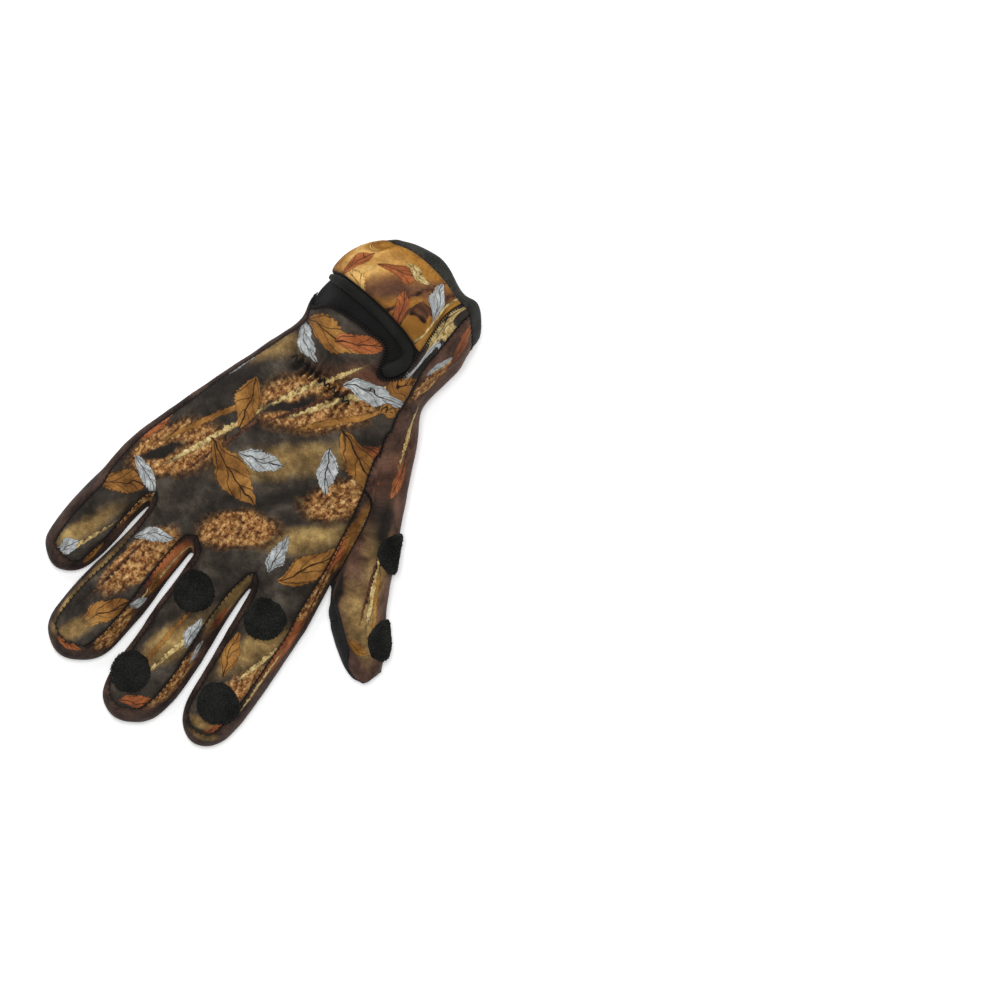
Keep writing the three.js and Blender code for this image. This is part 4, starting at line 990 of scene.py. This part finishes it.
def drop_on(start, way):
    """Where a line meets the skin, and the skin's smooth normal there."""
    at, _, face, _ = skin_tree.ray_cast(Vector(start), Vector(way).normalized())
    corners_of = Q[face]
    w = 1 / (np.linalg.norm(P[corners_of] - np.array(at), axis=1) + 0.05)
    return np.array(at), (N[corners_of] * w[:, None]).sum(0) / w.sum()


def over(x, y):
    """The skin straight under a point of the drawing."""
    at, normal = drop_on((x, y, 100), (0, 0, -1))
    return at, normal / np.linalg.norm(normal)


# %% Discs, bent over the fingers
DOTS = [("dot_middle_base", 9.3, -58.0), ("dot_middle_tip", 9.0, -102.6), ("dot_index_base", 40.7, -48.9),
        ("dot_index_tip", 47.6, -90.2), ("dot_thumb_base", 68.3, 8.2), ("dot_thumb_tip", 88.1, -23.7)]
DOT_RINGS = [(0.0, 2.0), (1.5, 2.0), (3.0, 2.0), (4.5, 2.0), (6.0, 1.98), (7.2, 1.93), (8.1, 1.8),
    (8.7, 1.45), (8.95, 0.9), (9.0, 0.3), (8.6, 0.02), (4.5, 0.0), (0.0, 0.0)]
SPOKES, RAGGED_EDGE = 56, 0.03
THUMB_DISC_THICK = 0.7                      # the thumb's discs stand lower than the others
DROP_FROM = 30                              # mm above the skin
HAIRY_RINGS = 7                             # from the middle out to the rounded rim
for name, x0, y0 in DOTS:
    centre, n = over(x0, y0)
    across = np.cross((0, 1, 0), n)
    across /= np.linalg.norm(across)
    along = np.cross(n, across)
    points, faces = [], []
    for r, lift in DOT_RINGS:
        for k in range(SPOKES if r else 1):
            a = 2 * math.pi * k / SPOKES
            rr = r * (1 + RAGGED_EDGE * noise.noise(Vector((math.cos(a) * 3, math.sin(a) * 3, x0))))
            out = across * rr * math.cos(a) + along * rr * math.sin(a)
            at, normal = drop_on(centre + n * DROP_FROM + out, -n)
            way = normal / np.linalg.norm(normal) * 0.5 + n * 0.5
            points.append(at + way * lift * (THUMB_DISC_THICK if "thumb" in name else 1))
    for k in range(SPOKES):
        k1 = (k + 1) % SPOKES
        faces.append((0, 1 + k, 1 + k1))
        for m in range(len(DOT_RINGS) - 3):
            a, b = 1 + m * SPOKES, 1 + (m + 1) * SPOKES
            faces.append((a + k, b + k, b + k1, a + k1))
        last = len(points) - 1
        faces.append((last - SPOKES + k1, last - SPOKES + k, last))
    made[name] = make_mesh(name, points, faces)
    keep_numbers(made[name], "hairy", [float(i < 1 + HAIRY_RINGS * SPOKES) for i in range(len(points))])
    made[name].data.materials.append(finish["loops"])
print("discs:", len(DOTS), "with", len(points), "points each")


# %% Rolled tape along the strap and round the end of the slit
TAPE_WIDE, TAPE_TALL, TAPE_FAT_END = 2.2, 1.7, 0.5
TAPE_PATH = [(-27.2, 86.4), (-21.5, 87.2), (-14, 87.2), (-6, 86.8), (2, 86), (9, 84.7), (15, 83.2),
    (19.0, 81), (20.4, 77.4), (19.6, 73.6), (17.6, 70.2), (15.8, 67.6)]


def smooth_path(points, steps):
    """A Catmull-Rom curve through the points, evenly spaced."""
    before_it = 2 * np.array(points[0]) - points[1]
    after_it = 2 * np.array(points[-1]) - points[-2]
    p = np.array([before_it, *points, after_it], float)
    dense = []
    for i in range(1, len(p) - 2):
        for t in np.linspace(0, 1, 24, endpoint=i == len(p) - 3):
            a, b, c, d = p[i - 1:i + 3]
            bend, twist = 2 * a - 5 * b + 4 * c - d, 3 * b - a - 3 * c + d
            dense.append(0.5 * (2 * b + (c - a) * t + bend * t * t + twist * t ** 3))
    dense = np.array(dense)
    run = np.concatenate([[0], np.cumsum(np.linalg.norm(np.diff(dense, axis=0), axis=1))])
    want = np.linspace(0, run[-1], steps)
    return np.stack([np.interp(want, run, dense[:, k]) for k in range(dense.shape[1])], 1)


def sweep(name, path, ups, half_sizes, sides):
    """A closed roll along a path, with its half width and half height from how far along it is."""
    points, faces, steps = [], [], len(path)
    for i, (p, up) in enumerate(zip(path, ups)):
        t = path[min(i + 1, steps - 1)] - path[max(i - 1, 0)]
        across = np.cross(t, up)
        across /= np.linalg.norm(across)
        high_way = np.cross(across, t) / np.linalg.norm(t)
        wide, tall = half_sizes(i / (steps - 1))
        for k in range(sides):
            a = 2 * math.pi * k / sides
            out = math.copysign(abs(math.cos(a)) ** 0.85, math.cos(a))      # a little square
            points.append(p + across * wide * out + high_way * tall * math.sin(a))
    for i in range(steps - 1):
        for k in range(sides):
            k1 = (k + 1) % sides
            faces.append((i * sides + k, (i + 1) * sides + k, (i + 1) * sides + k1, i * sides + k1))
    for ring, p, flip in ((0, path[0], False), (steps - 1, path[-1], True)):
        points.append(p)
        for k in range(sides):
            a, b = ring * sides + k, ring * sides + (k + 1) % sides
            faces.append((len(points) - 1, b, a) if flip else (len(points) - 1, a, b))
    return make_mesh(name, points, faces)


flat_path = smooth_path(TAPE_PATH, 110)
landed = [over(a, b) for a, b in flat_path]
tape_path = []
for (at, n), (a, b) in zip(landed, flat_path):
    uneven = 0.12 * noise.noise(Vector((a / 3, b / 3, 1)))
    tape_path.append(at + n * (TAB_LIFT + 0.3 + TAPE_TALL + uneven))


def tape_size(t):
    taper = min(1, 0.35 + t * 14, 0.3 + (1 - t) * 16)
    fat = 1 + TAPE_FAT_END * smooth_range(t, 0.84, 2, 0.03)
    return TAPE_WIDE * taper ** 0.5 * fat, TAPE_TALL * taper ** 0.5


made["slit_binding"] = sweep("slit_binding", tape_path, [n for _, n in landed], tape_size, 22)
made["slit_binding"].data.materials.append(finish["tape"])

# %% [markdown]
# ## Stitches and loops by rule
# Nobody models a thousand stitches by hand. One Geometry Nodes tree walks along a
# seam at an even pitch and sets a short arched thread across it, standing on the
# cloth. Another scatters small thread loops over the discs. Both are turned into
# plain meshes at the end, because instances are lost in an export.

# %% Stitch tree
def tree_with(name, sizes):
    """A Geometry Nodes tree with named inputs for its sizes."""
    tree = bpy.data.node_groups.new(name, "GeometryNodeTree")
    tree.interface.new_socket("Geometry", in_out="INPUT", socket_type="NodeSocketGeometry")
    for label, kind, value in sizes:
        socket = tree.interface.new_socket(label, in_out="INPUT", socket_type=kind)
        if value is not None:
            socket.default_value = value
    tree.interface.new_socket("Geometry", in_out="OUTPUT", socket_type="NodeSocketGeometry")
    return tree, add(tree, "NodeGroupInput"), add(tree, "NodeGroupOutput")


def close_tree(tree, geometry, g_in, g_out):
    """Makes the instances real, gives them their finish and sends them out."""
    real = add(tree, "GeometryNodeRealizeInstances", {0: geometry})
    done = add(tree, "GeometryNodeSetMaterial", {"Geometry": real, "Material": g_in.outputs["Finish"]})
    tree.links.new(done.outputs[0], g_out.inputs[0])


def thread_along(tree, curve, thick, around):
    """A round thread swept along a curve."""
    radius = add(tree, "ShaderNodeMath", {0: thick, 1: 0.5}, operation="MULTIPLY")
    circle = add(tree, "GeometryNodeCurvePrimitiveCircle", {"Resolution": around, "Radius": radius})
    return add(tree, "GeometryNodeCurveToMesh", {"Curve": curve, "Profile Curve": circle, "Fill Caps": True})


FOOT_Z = -0.0003                            # a thread's ends are sunk into the cloth, in metres


def thread_arch(tree, length, height, thick, bends, around):
    """A short arched thread along X, in metres."""
    half = add(tree, "ShaderNodeMath", {0: length, 1: 0.5}, operation="MULTIPLY")
    other_half = add(tree, "ShaderNodeMath", {0: length, 1: -0.5}, operation="MULTIPLY")
    start = add(tree, "ShaderNodeCombineXYZ", {"X": other_half, "Z": FOOT_Z})
    top = add(tree, "ShaderNodeCombineXYZ", {"Z": height})
    end = add(tree, "ShaderNodeCombineXYZ", {"X": half, "Z": FOOT_Z})
    arc = add(tree, "GeometryNodeCurveQuadraticBezier", {"Resolution": bends, "Start": start, "Middle": top,
            "End": end})
    return thread_along(tree, arc, thick, around)


stitch_tree, g_in, g_out = tree_with("stitches along a seam", [
    ("Pitch", "NodeSocketFloat", 0.0024), ("Length", "NodeSocketFloat", 0.0022),
    ("Thread", "NodeSocketFloat", 0.00065),
    ("Slant", "NodeSocketFloat", 1.3), ("Rise", "NodeSocketFloat", 0.0008),
    ("Finish", "NodeSocketMaterial", None)])
walk = add(stitch_tree, "GeometryNodeMeshToCurve", {"Mesh": g_in.outputs["Geometry"]})
even = add(stitch_tree, "GeometryNodeResampleCurve", {"Curve": walk, "Length": g_in.outputs["Pitch"]},
    mode="LENGTH")
spots = add(stitch_tree, "GeometryNodeCurveToPoints", {"Curve": even}, mode="EVALUATED")
up_way = add(stitch_tree, "GeometryNodeInputNamedAttribute", {"Name": "up"}, data_type="FLOAT_VECTOR")
stand = add(stitch_tree, "FunctionNodeAxesToRotation", {0: up_way, 1: spots.outputs["Tangent"]},
    primary_axis="Z", secondary_axis="X")
spin = add(stitch_tree, "FunctionNodeAxisAngleToRotation", {"Axis": (0, 0, 1),
        "Angle": g_in.outputs["Slant"]})
turned_by = add(stitch_tree, "FunctionNodeRotateRotation", {0: stand, 1: spin}, rotation_space="LOCAL")
arch = thread_arch(stitch_tree, g_in.outputs["Length"], g_in.outputs["Rise"], g_in.outputs["Thread"], 5, 6)
sewn = add(stitch_tree, "GeometryNodeInstanceOnPoints", {"Points": spots, "Instance": arch,
        "Rotation": turned_by})
close_tree(stitch_tree, sewn, g_in, g_out)

# %% Loop pile tree, and a thread that follows a path
pile_tree, g_in, g_out = tree_with("loop pile", [
    ("Per square metre", "NodeSocketFloat", 2.1e6), ("Height", "NodeSocketFloat", 0.0013),
    ("Thread", "NodeSocketFloat", 0.00036),
    ("Seed", "NodeSocketInt", 7), ("Finish", "NodeSocketMaterial", None)])
hairy = add(pile_tree, "GeometryNodeInputNamedAttribute", {"Name": "hairy"}, data_type="FLOAT")
top_only = add(pile_tree, "FunctionNodeCompare", {0: hairy, 1: 0.5}, operation="GREATER_THAN")
strewn = add(pile_tree, "GeometryNodeDistributePointsOnFaces",
    {"Mesh": g_in.outputs["Geometry"], "Selection": top_only, "Density": g_in.outputs["Per square metre"],
        "Seed": g_in.outputs["Seed"]})
arch = thread_arch(pile_tree, 0.0017, g_in.outputs["Height"], g_in.outputs["Thread"], 4, 4)
any_turn = add(pile_tree, "FunctionNodeRandomValue", {"Min": (-0.5, -0.5, 0.0), "Max": (0.5, 0.5, 6.283),
        "Seed": g_in.outputs["Seed"]}, data_type="FLOAT_VECTOR")
any_spin = add(pile_tree, "FunctionNodeEulerToRotation", {0: any_turn})
any_way = add(pile_tree, "FunctionNodeRotateRotation", {0: strewn.outputs["Rotation"], 1: any_spin},
    rotation_space="LOCAL")
any_size = add(pile_tree, "FunctionNodeRandomValue", {2: 0.7, 3: 1.25, "Seed": g_in.outputs["Seed"]},
    data_type="FLOAT")
grown = add(pile_tree, "GeometryNodeInstanceOnPoints", {"Points": strewn, "Instance": arch,
        "Rotation": any_way, "Scale": any_size.outputs[1]})
joined = add(pile_tree, "GeometryNodeJoinGeometry")
for part in (g_in.outputs["Geometry"], grown.outputs[0]):
    pile_tree.links.new(part, joined.inputs[0])
close_tree(pile_tree, joined, g_in, g_out)

thread_tree, g_in, g_out = tree_with("thread on a path", [("Thread", "NodeSocketFloat", 0.0006),
        ("Finish", "NodeSocketMaterial", None)])
walk = add(thread_tree, "GeometryNodeMeshToCurve", {"Mesh": g_in.outputs["Geometry"]})
swept = thread_along(thread_tree, walk, g_in.outputs["Thread"], 8)
close_tree(thread_tree, swept, g_in, g_out)


# %% Run a tree on a mesh and keep the plain result
def grow(obj, tree, **values):
    """Sets the modifier's inputs, keeps the result as a plain mesh and drops the modifier."""
    modifier = obj.modifiers.new("grow", "NODES")
    modifier.node_group = tree
    for item in tree.interface.items_tree:
        if item.in_out == "INPUT" and item.name in values:
            modifier[item.identifier] = values[item.name]
    for key in values:
        assert any(item.name == key for item in tree.interface.items_tree), key
    graph = bpy.context.evaluated_depsgraph_get()
    mesh = bpy.data.meshes.new_from_object(obj.evaluated_get(graph))
    obj.modifiers.clear()
    old, name = obj.data, obj.name
    obj.data = mesh
    bpy.data.meshes.remove(old)
    mesh.name = name
    mesh.polygons.foreach_set("use_smooth", np.full(len(mesh.polygons), True))
    print(f"{name}: {sum(len(p.vertices) - 2 for p in mesh.polygons)} triangles")
    return obj


for i, (name, _, _) in enumerate(DOTS):
    grow(made[name], pile_tree, Seed=11 + i, Finish=finish["loops"])

# %% Seam lines between two panels
pairs = np.concatenate([Q[:, [k, (k + 1) % 4]] for k in range(4)])
side_of = np.tile(owner, 4)
order = np.lexsort((pairs.max(1), pairs.min(1)))
low_high = np.sort(pairs, axis=1)[order]
twin = np.flatnonzero((low_high[1:] == low_high[:-1]).all(1))
seam_edges, seam_pair = [], []
for t in twin:
    a, b = side_of[order[t]], side_of[order[t + 1]]
    if a != b:
        seam_edges.append(low_high[t])
        seam_pair.append(frozenset((names[a], names[b])))


def between(pair, first, second):
    """Whether a seam joins two panels whose names start so."""
    return any(n.startswith(first) for n in pair) and any(n.startswith(second) for n in pair)


def seam_mesh(name, joins, sink):
    """The edges where the given panels meet, as a wire with the skin's normals."""
    edges = np.array([e for e, pair in zip(seam_edges, seam_pair)
            if any(between(pair, *join) for join in joins)])
    used, flat = np.unique(edges.ravel(), return_inverse=True)
    mesh = bpy.data.meshes.new(name)
    at = ((P[used] - N[used] * sink + SHIFT) * MM).tolist()
    mesh.from_pydata(at, flat.reshape(-1, 2).tolist(), [])
    obj = bpy.data.objects.new(name, mesh)
    bpy.context.scene.collection.objects.link(obj)
    keep_vectors(obj, "up", N[used])
    return obj


# the panels joined, how far the stitches sink, in mm, and their sizes where they differ, in metres
SEAMS = {
    "stitches_back": (
        [("back_panel", "side_strip"), ("back_panel", "thumb_back"), ("side_strip_index", "thumb_back")],
        0.40, {}),
    "stitches_palm": (
        [("side_strip", "palm"), ("thumb_", "palm_"), ("thumb_back", "thumb_palm"),
            ("side_strip_pinky", "cuff_underlap")],
        0.55, {"Rise": 0.0004}),
    "stitches_cuff": ([("cuff_hem", "")], 0.40, {"Pitch": 0.0026}),
    "overlock_slit": (
        [("back_panel", "cuff_underlap")],
        0.10, {"Pitch": 0.0012, "Length": 0.0021, "Rise": 0.0009, "Slant": 1.2}),
}
for name, (joins, sink, sizes) in SEAMS.items():
    made[name] = grow(seam_mesh(name, joins, sink), stitch_tree, Finish=finish["thread"], **sizes)

# %% The elastic zigzag at the wrist
ZIGS, ZIG_PITCH, ZIG_SWING = 25, 1.34, 1.05
zig = []
for k in range(ZIGS):
    zx = -19.5 + k * ZIG_PITCH + 0.35 * noise.noise(Vector((k * 0.9, 0, 3)))
    swing = ZIG_SWING + 0.7 * noise.noise(Vector((k * 0.37, 5, 0)))
    drift = 0.5 * noise.noise(Vector((k * 0.2, 1, 9)))
    zig.append((zx, shirr_y(zx) + (swing if k % 2 else -swing) + drift))
zig = smooth_path(zig, 160)
landed = [over(a, b) for a, b in zig]
mesh = bpy.data.meshes.new("shirring")
points = [((at - n * 0.02 + SHIFT) * MM).tolist() for at, n in landed]
mesh.from_pydata(points, [(i, i + 1) for i in range(len(zig) - 1)], [])
made["shirring"] = bpy.data.objects.new("shirring", mesh)
bpy.context.scene.collection.objects.link(made["shirring"])
grow(made["shirring"], thread_tree, Thread=0.0009, Finish=finish["thread"])

# %% [markdown]
# ## Hand the pieces to the frame
# Each piece rides on the one body, and the solid of the same name, if there is
# one, is hidden. Threads stand for no solid.

# %% Ride and replace
for name, obj in made.items():
    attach(obj, "root")
    if name in frame["nodes"]:
        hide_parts(name)
left_over = sorted(set(frame["nodes"]) - set(made))
print("pieces:", len(made), "nodes not dressed:", left_over)

# %% [markdown]
# ## Camera, floor and light
# The photograph looks straight down on a white table, with the glove turned by 38
# degrees. The light is a broad soft one, as in a light tent, a little stronger
# from the cuff's side.

# %% Camera
camera = bpy.data.objects.new("camera", bpy.data.cameras.new("camera"))
bpy.context.scene.collection.objects.link(camera)
TURN, CAMERA_AT, LENS = 38, (0.07096, 0.05533, 4.02), 331.2     # degrees, metres, mm
camera.data.sensor_width, camera.data.lens = 36, LENS
camera.data.clip_end = 20
camera.location = CAMERA_AT
camera.rotation_euler = (0, 0, math.radians(TURN))
bpy.context.scene.camera = camera

# %% Floor
floor_mesh = bpy.data.meshes.new("floor")
floor_mesh.from_pydata([(-3, -3, 0), (3, -3, 0), (3, 3, 0), (-3, 3, 0)], [], [(0, 1, 2, 3)])
floor = bpy.data.objects.new("floor", floor_mesh)
bpy.context.scene.collection.objects.link(floor)
white, tree, shader = new_material("white paper")
object_at = add(tree, "ShaderNodeTexCoord").outputs["Object"]
paper = add(tree, "ShaderNodeTexNoise", {"Vector": object_at, "Scale": 40.0})
tone = add(tree, "ShaderNodeValToRGB", {"Fac": paper}, steps=[(0.3, "#fafafa"), (0.7, "#fdfdfd")])
tree.links.new(tone.outputs["Color"], shader.inputs["Base Color"])
shader.inputs["Roughness"].default_value = 0.9
shader.inputs["Specular IOR Level"].default_value = 0.1
# a light table: its glow thins the shadows
shader.inputs["Emission Color"].default_value = (1, 1, 1, 1)
PAPER_GLOW, TENT_LIGHT = 0.28, 0.28
shader.inputs["Emission Strength"].default_value = PAPER_GLOW
floor_mesh.materials.append(white)
floor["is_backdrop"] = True

# %% Light
world = bpy.data.worlds.new("light tent")
world.use_nodes = True
world.node_tree.nodes["Background"].inputs[0].default_value = (1, 1, 1, 1)
world.node_tree.nodes["Background"].inputs[1].default_value = TENT_LIGHT
bpy.context.scene.world = world
# name, place and size in metres, power in watts
LAMPS = [("overhead", (-0.05, 0.1, 1.9), 0.5, 20.5), ("key", (-0.8, 0.6, 1.2), 0.7, 9.5)]
for name, place, size, power in LAMPS:
    lamp = bpy.data.objects.new(name, bpy.data.lights.new(name, "AREA"))
    lamp.data.size, lamp.data.energy = size, power
    lamp.location = place
    lamp.rotation_euler = (-Vector(place)).to_track_quat("-Z", "Y").to_euler()
    bpy.context.scene.collection.objects.link(lamp)
bpy.context.scene.view_settings.view_transform = "Standard"

# %% Sizes, and the end
low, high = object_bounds()
print("visual box in mm:", [round(1000 * (b - a), 1) for a, b in zip(low, high)])
